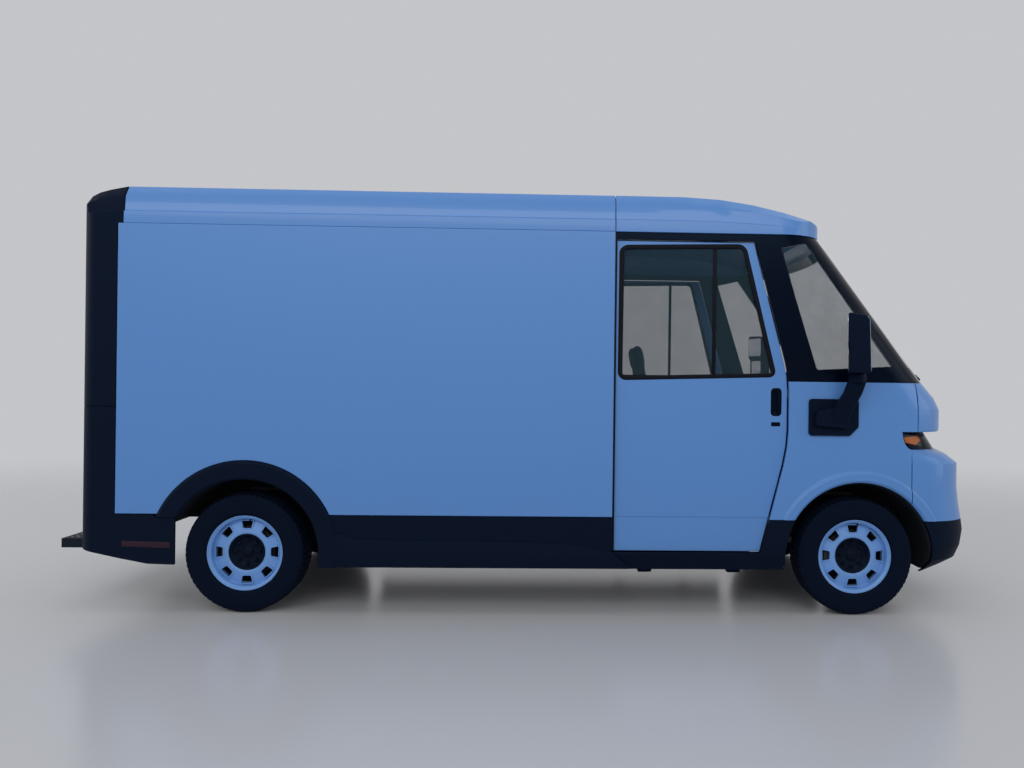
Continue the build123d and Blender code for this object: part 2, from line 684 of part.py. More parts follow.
# Rear door: a roll-up shutter of level slats
shutter_x, shutter_thickness, slat_count = body_rear_x + 8, 26.0, 11
shutter_half = half_width - post_width - running_gap
slat_height = (rear_header_z - running_gap - floor_z) / slat_count
with BuildPart() as rear_door:
    add(box(shutter_x, shutter_x + shutter_thickness, -shutter_half, shutter_half,
            floor_z, rear_header_z - running_gap))
    for number in range(1, slat_count):
        groove_z = floor_z + number * slat_height
        add(box(shutter_x - 1, shutter_x + 6, -shutter_half - 1, shutter_half + 1,
                groove_z - 4, groove_z + 4), mode=Mode.SUBTRACT)
write(rear_door, "rear_door")

# Rear step: a full-width tread on two brackets under the frame rails
step_bottom_z, step_top_z = 374.0, 433.0
bracket_rear_x, bracket_front_x = body_rear_x + 35, body_rear_x + 173
with BuildPart() as rear_step:
    add(box(tail_x, bracket_rear_x + 40, -step_half, step_half, step_bottom_z, step_top_z))
    for side in (-1, 1):
        rail = sorted((side * (rail_y + 5), side * (rail_y + rail_width - 5)))
        add(box(bracket_rear_x, bracket_front_x, *rail, step_bottom_z, rail_bottom_z))
write(rear_step, "rear_step")

# Tail lamps: an upright lens on each rear post
with BuildPart() as tail_lamps:
    add(box(body_rear_x - 10, body_rear_x, half_width - post_width + 4,
            half_width - rear_corner_radius - 2, belt_z - 320, belt_z + 140))
    fillet(tail_lamps.edges().filter_by(Axis.X), 12)
    mirror(about=Plane.XZ)
write(tail_lamps, "tail_lamps")

# Door mirrors: a base and bent arm on each fender, and a tall head
mirror_x = front_axle_x - 100
base_outline = ((-223, 1392), (-223, 1157), (40, 1157), (97, 1214), (97, 1392))
elbow_outline = ((-200, 1218), (-190, 1320), (-100, 1340), (50, 1346), (45, 1262), (8, 1204))
arm_rows = (
    (1240, -42, 34, 128, 56),
    (1336, -15, 56, 128, 60),
    (1436, 28, 100, 116, 58),
    (1520, 50, 124, 112, 56),
    (1557, 44, 130, 100, 52),
)
head_outline = ((-43, 1557), (89, 1557), (85, 1700), (77, 1888), (57, 1911), (-50, 1927),
                (-61, 1910), (-61, 1732), (-43, 1702))
head_sweep = 78.0
head_inner_y, head_outer_y = half_width + 62, half_width + 262
with BuildPart() as mirror_arms:
    with BuildSketch(Plane.XZ.offset(half_width)):
        with BuildLine():
            Polyline(*[(mirror_x + x, z) for x, z in base_outline], close=True)
        fillet(make_face().vertices(), 22)
    extrude(amount=16)
    with BuildSketch(Plane.XZ.offset(half_width + 16)):
        with BuildLine():
            Polyline(*[(mirror_x + x, z) for x, z in elbow_outline], close=True)
        fillet(make_face().vertices(), 24)
    extrude(amount=44, taper=8)
    for height, x, reach, long, wide in arm_rows:
        with BuildSketch(Plane.XY.offset(height)):
            with Locations((mirror_x + x, -half_width - reach)):
                RectangleRounded(long, wide, 20)
    loft(ruled=True)
    add(box(mirror_x - 300, mirror_x + 300, -half_width, -liner_y, 1000, 1700),
        mode=Mode.SUBTRACT)
    mirror(about=Plane.XZ)
write(mirror_arms, "mirror_arms")
with BuildPart() as mirror_heads:
    with BuildSketch(Plane.XZ.offset(head_inner_y)):
        with BuildLine():
            Polyline(*[(mirror_x + x, z) for x, z in head_outline], close=True)
        fillet(make_face().vertices(), 10)
    extrude(amount=head_outer_y - head_inner_y)
    fillet(mirror_heads.faces().filter_by(Plane.XZ).edges(), 9)
    with BuildSketch(Plane.XY.offset(1500)):
        with BuildLine():
            Polyline((mirror_x - 200, -head_outer_y), (mirror_x - 61, -head_outer_y),
                     (mirror_x - 61 + head_sweep, -head_inner_y + 1),
                     (mirror_x - 200, -head_inner_y + 1), close=True)
        make_face()
    extrude(amount=500, mode=Mode.SUBTRACT)
    mirror(about=Plane.XZ)
write(mirror_heads, "mirror_heads")

# Door pockets: an inner wall and an end wall for each sliding cab door
pocket_wall_in = pocket_wall_y - pocket_wall_thickness
with BuildPart() as pocket_walls:
    add(box(pocket_rear_x, bulkhead_x + bulkhead_thickness, -pocket_wall_y, -pocket_wall_in,
            door_bottom_z - 60, cant_z - 2))
    add(box(pocket_rear_x, pocket_rear_x + pocket_wall_thickness, -inner_y, -pocket_wall_in,
            door_bottom_z - 60, cant_z - 2))
    mirror(about=Plane.XZ)
write(pocket_walls, "pocket_walls")

# Bulkhead: the wall between cab and load space, with a doorway in the middle
bulkhead_half = pocket_wall_in - running_gap
doorway_half, doorway_top_z = 340.0, 2080.0
door_rail_z = 2135.0
bulkhead_outline = (
    (-bulkhead_half, floor_z),
    (bulkhead_half, floor_z),
    (bulkhead_half, roof_top - 135),
    (half_width - 130, roof_top - 85),
    (0, roof_top - 37),
    (130 - half_width, roof_top - 85),
    (-bulkhead_half, roof_top - 135),
)
doorway = ((-doorway_half, floor_z - 1), (doorway_half, floor_z - 1),
           (doorway_half, doorway_top_z), (-doorway_half, doorway_top_z))
with BuildPart() as bulkhead:
    add(front_region(bulkhead_outline, bulkhead_x, bulkhead_x + bulkhead_thickness))
    add(front_region(doorway, bulkhead_x - 1, bulkhead_x + bulkhead_thickness + 1),
        mode=Mode.SUBTRACT)
    add(box(bulkhead_x - 54, bulkhead_x, -doorway_half - 60, bulkhead_half, door_rail_z,
            door_rail_z + 30))
write(bulkhead, "bulkhead")

# Bulkhead door: a panel that slides sideways behind the bulkhead, hung from its rail
panel_half = doorway_half + 50
with BuildPart() as bulkhead_door:
    add(box(bulkhead_x - 38, bulkhead_x - 8, -panel_half, panel_half, floor_z + 10,
            door_rail_z - running_gap))
write(bulkhead_door, "bulkhead_door")

# Cab doors: a panel with a window hole, its pane, and a pocket for the hand
door_outline = ((door_rear_x - 40, door_bottom_z), (door_rear_x - 40, door_top_z),
                *edge_points(door_top_z, door_bottom_z, 0.0))
window_outline = (
    (door_rear_x - 2, belt_z - 2),
    (door_rear_x, door_top_z - 28),
    (door_head_x - 55, door_top_z - 11),
    (door_nose_x - 72, belt_z + 31),
)
handle_outline = ((door_nose_x - 104, 1277), (door_nose_x - 34, 1277),
                  (door_nose_x - 34, 1458), (door_nose_x - 104, 1458))
with BuildPart() as door_panel:
    with BuildSketch(Plane.XZ.offset(door_face_y - door_thickness)):
        with BuildLine():
            Polyline(*door_outline, close=True)
        make_face()
    extrude(amount=door_thickness)
    with BuildSketch(Plane.XZ.offset(door_face_y - door_thickness)):
        with BuildLine():
            Polyline(*window_outline, close=True)
        fillet(make_face().vertices(), 50)
    extrude(amount=door_thickness, mode=Mode.SUBTRACT)
    with BuildSketch(Plane.XZ.offset(door_face_y - 22)):
        with BuildLine():
            Polyline(*handle_outline, close=True)
        fillet(make_face().vertices(), 25)
    extrude(amount=22, mode=Mode.SUBTRACT)
    add(box(door_rear_x, door_nose_x, -door_face_y - 1, -door_face_y + 4,
            door_crease_z - 3, door_crease_z + 3), mode=Mode.SUBTRACT)
    for pad_x in (door_rear_x + 25, door_foot_x - 136):
        add(box(pad_x, pad_x + 100, -door_face_y + door_thickness, -well_outer_y - running_gap,
                door_bottom_z + 2, well_z))
with BuildPart() as door_right:
    add(door_panel.part)
write(door_right, "door_right")
with BuildPart() as door_left:
    add(door_panel.part.mirror(Plane.XZ))
write(door_left, "door_left")

# Door panes: set in the window holes
with BuildPart() as pane:
    with BuildSketch(Plane.XZ.offset(door_face_y - 18)):
        with BuildLine():
            Polyline(*window_outline, close=True)
        fillet(make_face().vertices(), 50)
        offset(amount=-running_gap, mode=Mode.REPLACE)
    extrude(amount=8)
with BuildPart() as door_pane_right:
    add(pane.part)
write(door_pane_right, "door_pane_right")
with BuildPart() as door_pane_left:
    add(pane.part.mirror(Plane.XZ))
write(door_pane_left, "door_pane_left")

# Dashboard: a shelf with a sloping face on two legs, right across the cab
driver_y = half_width - 670
dash_x, dash_half, dash_bottom_z = screen_foot_x - 605, half_width - 100, 1130.0
dash_section = ((dash_x, dash_bottom_z), (dash_x, 1290), (dash_x + 80, 1400),
                (dash_x + 510, belt_z - 30), (dash_x + 510, 1250), (dash_x + 270, dash_bottom_z))
with BuildPart() as dashboard:
    with BuildSketch(Plane.XZ.offset(-dash_half)):
        with BuildLine():
            Polyline(*dash_section, close=True)
        make_face()
    extrude(amount=2 * dash_half)
    for side in (-1, 1):
        leg = sorted((side * (driver_y - 130), side * (driver_y + 130)))
        add(box(dash_x + 100, dash_x + 250, *leg, floor_z, dash_bottom_z + 10))
write(dashboard, "dashboard")

# Steering wheel: a rim with three spokes on a column out of the dashboard
wheel_hub = (dash_x - 130, driver_y, 1235.0)
column_slope = 28.0
steering_plane = Plane(origin=wheel_hub, x_dir=(0, 1, 0),
                       z_dir=(-cos(radians(column_slope)), 0, sin(radians(column_slope))))
with BuildPart() as steering_wheel:
    with BuildSketch(steering_plane.offset(-15)):
        Circle(215)
        Circle(185, mode=Mode.SUBTRACT)
    extrude(amount=30)
    with BuildSketch(steering_plane.offset(-12)):
        Circle(55)
        for angle in (0, 180, 270):
            with Locations(Rotation(0, 0, angle)):
                with Locations((115, 0)):
                    Rectangle(160, 42)
    extrude(amount=22)
    with BuildSketch(steering_plane.offset(-12)):
        Circle(34)
    extrude(until=Until.NEXT, target=dashboard.part, dir=-steering_plane.z_dir)
write(steering_wheel, "steering_wheel")

# Driver's seat: a pedestal, a cushion and a back with a head restraint
seat_half = 250.0
seat_x, seat_z, seat_back_z = front_axle_x - 1250, 1060.0, 1190.0
with BuildPart() as seat_pedestal:
    add(box(seat_x + 60, seat_x + 420, driver_y - 180, driver_y + 180, floor_z, seat_z))
    fillet(seat_pedestal.edges().filter_by(Axis.Z), 30)
write(seat_pedestal, "seat_pedestal")
with BuildPart() as seat_cushion:
    add(box(seat_x, seat_x + 500, driver_y - seat_half, driver_y + seat_half, seat_z,
            seat_back_z))
    fillet(seat_cushion.edges(), 35)
write(seat_cushion, "seat_cushion")
back_outline = ((seat_x, seat_back_z), (seat_x + 120, seat_back_z),
                (seat_x - 10, seat_back_z + 610), (seat_x - 100, seat_back_z + 610))
with BuildPart() as seat_back:
    with BuildSketch(Plane.XZ.offset(-driver_y - seat_half + 10)):
        with BuildLine():
            Polyline(*back_outline, close=True)
        make_face()
    extrude(amount=2 * seat_half - 20)
write(seat_back, "seat_back")

# Rear axle: a beam with the motor and its gears in the middle, and a spindle at each end
hub_bore, spindle_length = 36.0, 30.0
brake_radius = 170.0
with BuildPart() as rear_axle:
    add(cross_cylinder(rear_axle_x, axle_z, 55, -tyre_y + 60, tyre_y - 60))
    add(cross_cylinder(rear_axle_x, axle_z, 165, -230, 230))
    for side in (-1, 1):
        brake = sorted((side * (tyre_y - 95), side * (tyre_y - 40)))
        spindle = sorted((side * (tyre_y - 61), side * (tyre_y + 30)))
        add(cross_cylinder(rear_axle_x, axle_z, brake_radius, *brake))
        add(cross_cylinder(rear_axle_x, axle_z, hub_bore - running_gap, *spindle))
write(rear_axle, "rear_axle")

# Leaf springs: a bowed pack over each end of the axle, its eyes under the frame rail
spring_eye_front_x, spring_eye_rear_x = rear_axle_x + 620, rear_axle_x - 620
spring_top = axle_z + 55 + 36
with BuildPart() as leaf_springs:
    with BuildSketch(Plane.XZ.offset(rail_y + 5)):
        with BuildLine():
            Polyline((spring_eye_rear_x, rail_bottom_z), (rear_axle_x - 90, spring_top),
                     (rear_axle_x + 90, spring_top), (spring_eye_front_x, rail_bottom_z),
                     (spring_eye_front_x + 60, rail_bottom_z), (rear_axle_x + 120, axle_z + 55),
                     (rear_axle_x - 120, axle_z + 55), (spring_eye_rear_x - 60, rail_bottom_z),
                     close=True)
        make_face()
    extrude(amount=rail_width - 10)
    mirror(about=Plane.XZ)
write(leaf_springs, "leaf_springs")

# Drive unit: one heavy block between the rails over the front axle
with BuildPart() as drive_unit:
    add(box(front_axle_x - 260, front_axle_x + 230, -300, 300, 330, 640))
    fillet(drive_unit.edges().filter_by(Axis.Y), 50)
    add(box(front_axle_x - 60, front_axle_x + 60, -rail_y, rail_y, 590, 640))
write(drive_unit, "drive_unit")

# Control arms: a lower and an upper arm from each rail to the kingpin's ends
joint_reach = 118.0
arm_half = 24.0
with BuildPart() as control_arms:
    for z_inner, z_outer in ((rail_bottom_z + 22, axle_z - joint_reach),
                             (rail_top_z - 22, axle_z + joint_reach)):
        with BuildSketch(Plane.YZ.offset(front_axle_x - arm_half)):
            with BuildLine():
                Polyline((-rail_y - rail_width, z_inner - 20), (-kingpin_y + 30, z_outer - 16),
                         (-kingpin_y - 26, z_outer - 16), (-kingpin_y - 26, z_outer + 16),
                         (-kingpin_y + 30, z_outer + 16), (-rail_y - rail_width, z_inner + 20),
                         close=True)
            make_face()
        extrude(amount=2 * arm_half)
    mirror(about=Plane.XZ)
write(control_arms, "control_arms")

# Knuckles: an upright on the kingpin with a brake plate and the wheel's spindle
knuckle_half = joint_reach - 16 - running_gap
with BuildPart() as knuckle:
    with BuildSketch(Plane.XY.offset(axle_z - knuckle_half)):
        with Locations((front_axle_x, -kingpin_y)):
            Circle(24)
    extrude(amount=2 * knuckle_half)
    add(cross_cylinder(front_axle_x, axle_z, 60, -kingpin_y - 34, -kingpin_y))
    add(cross_cylinder(front_axle_x, axle_z, hub_bore - running_gap, -tyre_y - 30, -kingpin_y))
with BuildPart() as knuckle_right:
    add(knuckle.part)
write(knuckle_right, "knuckle_right")
with BuildPart() as knuckle_left:
    add(knuckle.part.mirror(Plane.XZ))
write(knuckle_left, "knuckle_left")

# Wheels: a rim with eight rounded vents round a set-back middle, and a tyre on it.
# Profiles are radius and distance outboard of the wheel's middle plane.
rim_profile = ((rim_radius, 100), (rim_radius, 93), (bead_radius, 87), (bead_radius, -87),
               (rim_radius, -93), (rim_radius, -100), (209, -100), (209, 48), (190, 62),
               (150, 50), (108, 18), (hub_bore, 18), (hub_bore, 34), (108, 34), (150, 66),
               (196, 80), (212, 100))
bead = bead_radius + running_gap
tyre_profile = ((bead, 86), (bead, -86), (238, -92), (250, -104), (305, -114), (350, -106),
                (372, -86), (tyre_radius, -60), (tyre_radius, 60), (372, 86), (350, 106),
                (305, 114), (250, 104), (238, 92))
vent_count, vent_inner, vent_outer = 8, 149.0, 197.0
with BuildPart() as rim_shape:
    with BuildSketch(Plane.YX):
        with BuildLine():
            Polyline(*[(y, radius) for radius, y in rim_profile], close=True)
        make_face()
    revolve(axis=Axis.Y)
    with BuildSketch(Plane.XZ.offset(-120)):
        with PolarLocations(0, vent_count):
            with Locations((173, 0)):
                Trapezoid(73, vent_outer - vent_inner, 79, rotation=90)
    extrude(amount=240, mode=Mode.SUBTRACT)
with BuildPart() as tyre_shape:
    with BuildSketch(Plane.YX):
        with BuildLine():
            Polyline(*[(y, radius) for radius, y in tyre_profile], close=True)
        make_face()
    revolve(axis=Axis.Y)
wheel_places = (
    ("front_right", front_axle_x, -1),
    ("front_left", front_axle_x, 1),
    ("rear_right", rear_axle_x, -1),
    ("rear_left", rear_axle_x, 1),
)
for place, x, side in wheel_places:
    centre = Plane(origin=(x, side * tyre_y, axle_z), x_dir=(side, 0, 0), z_dir=(0, 0, 1))
    with BuildPart() as rim:
        add(rim_shape.part.moved(centre.location))
    write(rim, f"rim_{place}")
    with BuildPart() as tyre:
        add(tyre_shape.part.moved(centre.location))
    write(tyre, f"tyre_{place}")
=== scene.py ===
# Electric walk-in delivery van, dressed piece by piece as it is put together: running gear
# and frame first, then the load body, the cab, the lamps and mirrors, and the studio last.
import json
from math import pi, radians

import bpy
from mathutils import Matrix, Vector

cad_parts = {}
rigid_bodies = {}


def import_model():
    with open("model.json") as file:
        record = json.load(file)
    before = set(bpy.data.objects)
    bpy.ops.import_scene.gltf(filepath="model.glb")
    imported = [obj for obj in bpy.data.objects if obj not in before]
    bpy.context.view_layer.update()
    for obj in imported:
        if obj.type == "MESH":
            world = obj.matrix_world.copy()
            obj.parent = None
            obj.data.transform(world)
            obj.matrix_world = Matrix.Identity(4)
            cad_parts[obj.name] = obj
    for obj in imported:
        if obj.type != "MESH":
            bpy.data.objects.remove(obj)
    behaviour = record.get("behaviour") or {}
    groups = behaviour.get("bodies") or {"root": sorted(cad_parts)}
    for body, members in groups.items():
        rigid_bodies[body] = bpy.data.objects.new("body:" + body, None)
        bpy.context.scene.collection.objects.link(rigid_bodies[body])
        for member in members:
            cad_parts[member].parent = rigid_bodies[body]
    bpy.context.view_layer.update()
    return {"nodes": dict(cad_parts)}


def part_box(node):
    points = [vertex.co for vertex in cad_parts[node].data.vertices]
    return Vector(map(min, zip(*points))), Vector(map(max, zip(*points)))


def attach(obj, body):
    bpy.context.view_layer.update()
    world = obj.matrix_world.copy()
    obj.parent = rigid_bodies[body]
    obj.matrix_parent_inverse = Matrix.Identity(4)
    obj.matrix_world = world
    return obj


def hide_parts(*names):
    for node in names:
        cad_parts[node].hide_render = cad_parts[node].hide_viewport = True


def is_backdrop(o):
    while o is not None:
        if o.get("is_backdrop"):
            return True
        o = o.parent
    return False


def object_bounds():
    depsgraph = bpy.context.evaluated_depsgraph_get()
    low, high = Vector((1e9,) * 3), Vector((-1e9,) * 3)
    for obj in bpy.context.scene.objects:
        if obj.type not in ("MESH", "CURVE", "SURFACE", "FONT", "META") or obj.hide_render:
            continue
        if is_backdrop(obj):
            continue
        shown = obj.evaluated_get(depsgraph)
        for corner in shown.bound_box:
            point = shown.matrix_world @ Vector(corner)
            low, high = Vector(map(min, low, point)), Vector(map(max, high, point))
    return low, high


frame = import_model()
nodes = frame["nodes"]
bpy.ops.object.select_all(action="DESELECT")


# Ladder frame and rear step brackets. Pressed steel rails with riveted crossmembers, dipped
# and sprayed in chassis black, which collects road film; the finish's film and grain are
# node groups, because every other outside surface of the van carries them too.
def start_group(name, inputs, outputs):
    """New shader group with its sockets; returns the group and its two end nodes."""
    group = bpy.data.node_groups.new(name, "ShaderNodeTree")
    for socket, kind, value in inputs:
        made = group.interface.new_socket(socket, in_out="INPUT", socket_type=kind)
        made.default_value = value
    for socket, kind in outputs:
        group.interface.new_socket(socket, in_out="OUTPUT", socket_type=kind)
    return group, group.nodes.new("NodeGroupInput"), group.nodes.new("NodeGroupOutput")


def fed(tree, node, inputs):
    """Gives a node's inputs their colours, numbers or links; returns the node."""
    for name, value in inputs.items():
        if isinstance(value, bpy.types.NodeSocket):
            tree.links.new(value, node.inputs[name])
        else:
            node.inputs[name].default_value = (*value, 1) if isinstance(value, tuple) else value
    return node


def calc(tree, operation, first, second=0.0, clamp=False):
    """Math node fed by sockets or plain numbers; returns its output socket."""
    made = tree.nodes.new("ShaderNodeMath")
    made.operation = operation
    made.use_clamp = clamp
    return fed(tree, made, {0: first, 1: second}).outputs[0]


def noise(tree, place, scale, detail=3.0, roughness=0.55):
    """Noise at the given coordinates and scale; returns its factor socket."""
    made = tree.nodes.new("ShaderNodeTexNoise")
    return fed(tree, made, {"Vector": place, "Scale": scale, "Detail": detail,
                            "Roughness": roughness}).outputs["Fac"]


def mixed(tree, factor, first, second):
    """Colour mix of two sockets or colours by a factor socket; returns the colour socket."""
    made = tree.nodes.new("ShaderNodeMix")
    made.data_type = "RGBA"
    return fed(tree, made, {0: factor, 6: first, 7: second}).outputs[2]


def ranged(tree, value, start, end, shape="LINEAR"):
    """Socket that runs from 0 to 1 as a value runs from start to end."""
    made = tree.nodes.new("ShaderNodeMapRange")
    made.interpolation_type = shape
    fed(tree, made, {"Value": value, "From Min": start, "From Max": end})
    return made.outputs["Result"]


def object_place(tree):
    """Coordinates in the piece's own frame; returns the socket."""
    return tree.nodes.new("ShaderNodeTexCoord").outputs["Object"]


def axes_of(tree, place):
    """Sockets X, Y and Z of the given coordinates."""
    return fed(tree, tree.nodes.new("ShaderNodeSeparateXYZ"), {0: place}).outputs


road_film, given, result = start_group(
    "road film",
    (("Color", "NodeSocketColor", (0.5, 0.5, 0.5, 1)),
     ("Film Color", "NodeSocketColor", (0.10, 0.095, 0.085, 1)),
     ("Amount", "NodeSocketFloat", 0.3),
     ("Roughness", "NodeSocketFloat", 0.3)),
    (("Color", "NodeSocketColor"), ("Roughness", "NodeSocketFloat")))
coords = object_place(road_film)
low_down = ranged(road_film, axes_of(road_film, coords)["Z"], 1.15, 0.25)
film = calc(road_film, "MULTIPLY", low_down, noise(road_film, coords, 3.2, 5.0, 0.62))
film = calc(road_film, "ADD", film,
            calc(road_film, "MULTIPLY", noise(road_film, coords, 42.0, 3.0, 0.7), 0.25))
film = calc(road_film, "MULTIPLY", film, given.outputs["Amount"], True)
dulled = calc(road_film, "ADD", given.outputs["Roughness"],
              calc(road_film, "MULTIPLY", film, 0.4), True)
fed(road_film, result, {"Color": mixed(road_film, film, given.outputs["Color"],
                                       given.outputs["Film Color"]), "Roughness": dulled})

fine_grain, given, result = start_group(
    "fine grain",
    (("Scale", "NodeSocketFloat", 400.0), ("Wave", "NodeSocketFloat", 0.0)),
    (("Height", "NodeSocketFloat"),))
coords = object_place(fine_grain)
grain = noise(fine_grain, coords, given.outputs["Scale"], 4.0, 0.6)
wave = calc(fine_grain, "MULTIPLY", noise(fine_grain, coords, 1.7, 1.0, 0.5),
            given.outputs["Wave"])
fed(fine_grain, result, {"Height": calc(fine_grain, "ADD", grain, wave)})


def blank(name):
    """New material; returns it with its shader tree and its surface node."""
    made = bpy.data.materials.new(name)
    made.use_nodes = True
    return made, made.node_tree, made.node_tree.nodes["Principled BSDF"]


def bumped(tree, height, depth):
    """Normal socket of a surface raised by a height of this depth."""
    bump = tree.nodes.new("ShaderNodeBump")
    return fed(tree, bump, {"Distance": depth, "Height": height}).outputs["Normal"]


def finish(name, color, roughness=0.5, metallic=0.0, coat=0.0, specular=0.5, film=0.15,
           film_color=(0.10, 0.095, 0.085), grain=400.0, wave=0.0, depth=0.0004, gleam=(1, 1, 1)):
    """Opaque surface with road film and fine grain; returns the material."""
    made, tree, surface = blank(name)
    dirt = tree.nodes.new("ShaderNodeGroup")
    dirt.node_tree = road_film
    fed(tree, dirt, {"Color": color, "Film Color": film_color, "Amount": film,
                     "Roughness": roughness})
    texture = tree.nodes.new("ShaderNodeGroup")
    texture.node_tree = fine_grain
    fed(tree, texture, {"Scale": grain, "Wave": wave})
    fed(tree, surface, {"Metallic": metallic, "Coat Weight": coat, "Coat Roughness": 0.06,
                        "Specular IOR Level": specular, "Specular Tint": gleam,
                        "Base Color": dirt.outputs["Color"],
                        "Roughness": dirt.outputs["Roughness"],
                        "Normal": bumped(tree, texture.outputs["Height"], depth)})
    return made


def dress(material, *names):
    """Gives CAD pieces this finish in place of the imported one."""
    for name in names:
        nodes[name].data.materials.clear()
        nodes[name].data.materials.append(material)


def chosen(piece):
    """Makes a piece the only one selected and the active one."""
    bpy.ops.object.select_all(action="DESELECT")
    piece.select_set(True)
    bpy.context.view_layer.objects.active = piece


def open_mesh(piece):
    """Makes a piece the only one selected and opens its whole mesh for editing."""
    chosen(piece)
    bpy.ops.object.mode_set(mode="EDIT")
    bpy.ops.mesh.select_all(action="SELECT")


def settle(piece, material, edge=0.0, steps=2, angle=38, body="van_body"):
    """Softens a new piece's edges, shades it, gives it its finish and fixes it to a body."""
    chosen(piece)
    bpy.ops.object.transform_apply()
    if edge:
        rounding = piece.modifiers.new("rounding", "BEVEL")
        rounding.width = edge
        rounding.segments = steps
        rounding.angle_limit = radians(angle)
        rounding.use_clamp_overlap = True
        bpy.ops.object.modifier_apply(modifier=rounding.name)
    bpy.ops.object.shade_smooth_by_angle(angle=radians(angle))
    piece.data.materials.clear()
    piece.data.materials.append(material)
    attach(piece, body)
    return piece


def rod(name, start, end, radius, sides=20):
    """Round bar between two points."""
    start, end = Vector(start), Vector(end)
    run = end - start
    bpy.ops.mesh.primitive_cylinder_add(vertices=sides, radius=radius, depth=run.length,
                                        location=(start + end) / 2,
                                        rotation=run.to_track_quat("Z", "Y").to_euler())
    made = bpy.context.object
    made.name = name
    bpy.ops.object.transform_apply()
    return made


def joined(name, pieces):
    """Makes several loose pieces one object."""
    bpy.ops.object.select_all(action="DESELECT")
    for piece in pieces:
        piece.select_set(True)
    bpy.context.view_layer.objects.active = pieces[0]
    bpy.ops.object.join()
    pieces[0].name = name
    return pieces[0]


def copied(piece, name, flip=False):
    """Copy with its own mesh, standing free, or flipped to the van's other side."""
    chosen(piece)
    bpy.ops.object.duplicate()
    made = bpy.context.object
    made.name = name
    bpy.ops.object.parent_clear(type="CLEAR_KEEP_TRANSFORM")
    if flip:
        made.scale.y = -1
        bpy.ops.object.transform_apply()
        open_mesh(made)
        bpy.ops.mesh.flip_normals()
        bpy.ops.object.mode_set(mode="OBJECT")
    return made


def both_sides(piece, material, edge=0.0, steps=2, angle=38, body="van_body"):
    """Settles a right-hand piece and its twin on the left; a body ending in right follows."""
    twin = copied(piece, piece.name.replace("right", "left"), flip=True)
    settle(piece, material, edge, steps, angle, body)
    settle(twin, material, edge, steps, angle, body.replace("right", "left"))


# The dark finishes below are near black; the navy in their base colours and the blue tint given
# to their reflections are a painted blue cast of the light.
painted_blue_reflection_tint = (0.35, 0.58, 1.0)
frame_black = finish("chassis_paint", (0.0040, 0.0062, 0.0120), 0.55, specular=0.2, film=0.5,
                     grain=300.0, film_color=(0.024, 0.027, 0.034), depth=0.0006,
                     gleam=painted_blue_reflection_tint)
dress(frame_black, "chassis_frame", "leaf_springs", "rear_step", "seat_pedestal")

rail_low, rail_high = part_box("chassis_frame")
rivets = []
for number in range(14):
    x = rail_low.x + 0.201 + number * 0.385
    for z in (rail_low.z + 0.040, rail_high.z - 0.035):
        rivets.append(rod("rivet", (x, rail_low.y + 0.004, z), (x, rail_low.y - 0.006, z),
                          0.011, 10))
both_sides(joined("rail_rivets_right", rivets), frame_black, 0.003)


# Battery and drives. The battery is a riveted aluminium case with stiffening ribs across its
# floor and sides; the front drive unit, the beam axle, the arms and the knuckles are cast.
battery_shell = finish("battery_aluminium", (0.26, 0.27, 0.30), 0.5, metallic=0.85, film=0.5,
                       grain=90.0)
rough_iron = finish("rough_iron", (0.060, 0.060, 0.062), 0.7, metallic=0.7, film=0.5,
                    grain=160.0, depth=0.0012)
dress(battery_shell, "battery_pack", "drive_unit")
dress(rough_iron, "rear_axle", "control_arms", "knuckle_right", "knuckle_left")


def block(name, low, high):
    """Cube drawn out between two corners."""
    low, high = Vector(low), Vector(high)
    bpy.ops.mesh.primitive_cube_add(size=1, location=(low + high) / 2)
    made = bpy.context.object
    made.name = name
    made.scale = high - low
    bpy.ops.object.transform_apply()
    return made


case_low, case_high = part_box("battery_pack")
rib_half, rib_count, end_gap = 0.02, 11, 0.11
rib_pitch = (case_high.x - case_low.x - 2 * end_gap) / (rib_count - 1)
ribs = []
for number in range(rib_count):
    x = case_low.x + end_gap + number * rib_pitch
    ribs.append(block("rib", (x - rib_half, case_low.y + 0.05, case_low.z - 0.008),
                      (x + rib_half, case_high.y - 0.05, case_low.z + 0.004)))
    for side in (-1, 1):
        wall = sorted((side * (case_high.y - 0.002), side * (case_high.y + 0.010)))
        ribs.append(block("rib", (x - rib_half, wall[0], case_low.z + 0.05),
                          (x + rib_half, wall[1], case_high.z - 0.06)))
settle(joined("battery_ribs", ribs), battery_shell, 0.004)


# Wheels. Pressed steel rims in enamel, their light blue partly the enamel's own and partly a
# painted blue cast of the light: a stepped barrel and a dished disc with eight windows, each with
# a pressed lip, a dark hub with its nuts, and a valve. Behind the disc are a cast brake disc, its
# caliper and a pressed dust shield, bolted to the axle.
# The rims' light blue and the blue of their road film are partly a painted blue cast of the
# light.
wheel_enamel = finish("wheel_enamel", (0.17, 0.38, 0.80), 0.36, coat=0.2, film=0.3, grain=500.0,
                      film_color=(0.07, 0.12, 0.22), depth=0.0002)
# The hub's navy base colour and the blue tint of its reflections are a painted blue cast of the
# light.
hub_black = finish("hub_black", (0.0022, 0.0042, 0.0110), 0.42, specular=0.14, film=0.2,
                   grain=300.0, film_color=(0.010, 0.014, 0.024), gleam=painted_blue_reflection_tint)
wheel_windows = 8


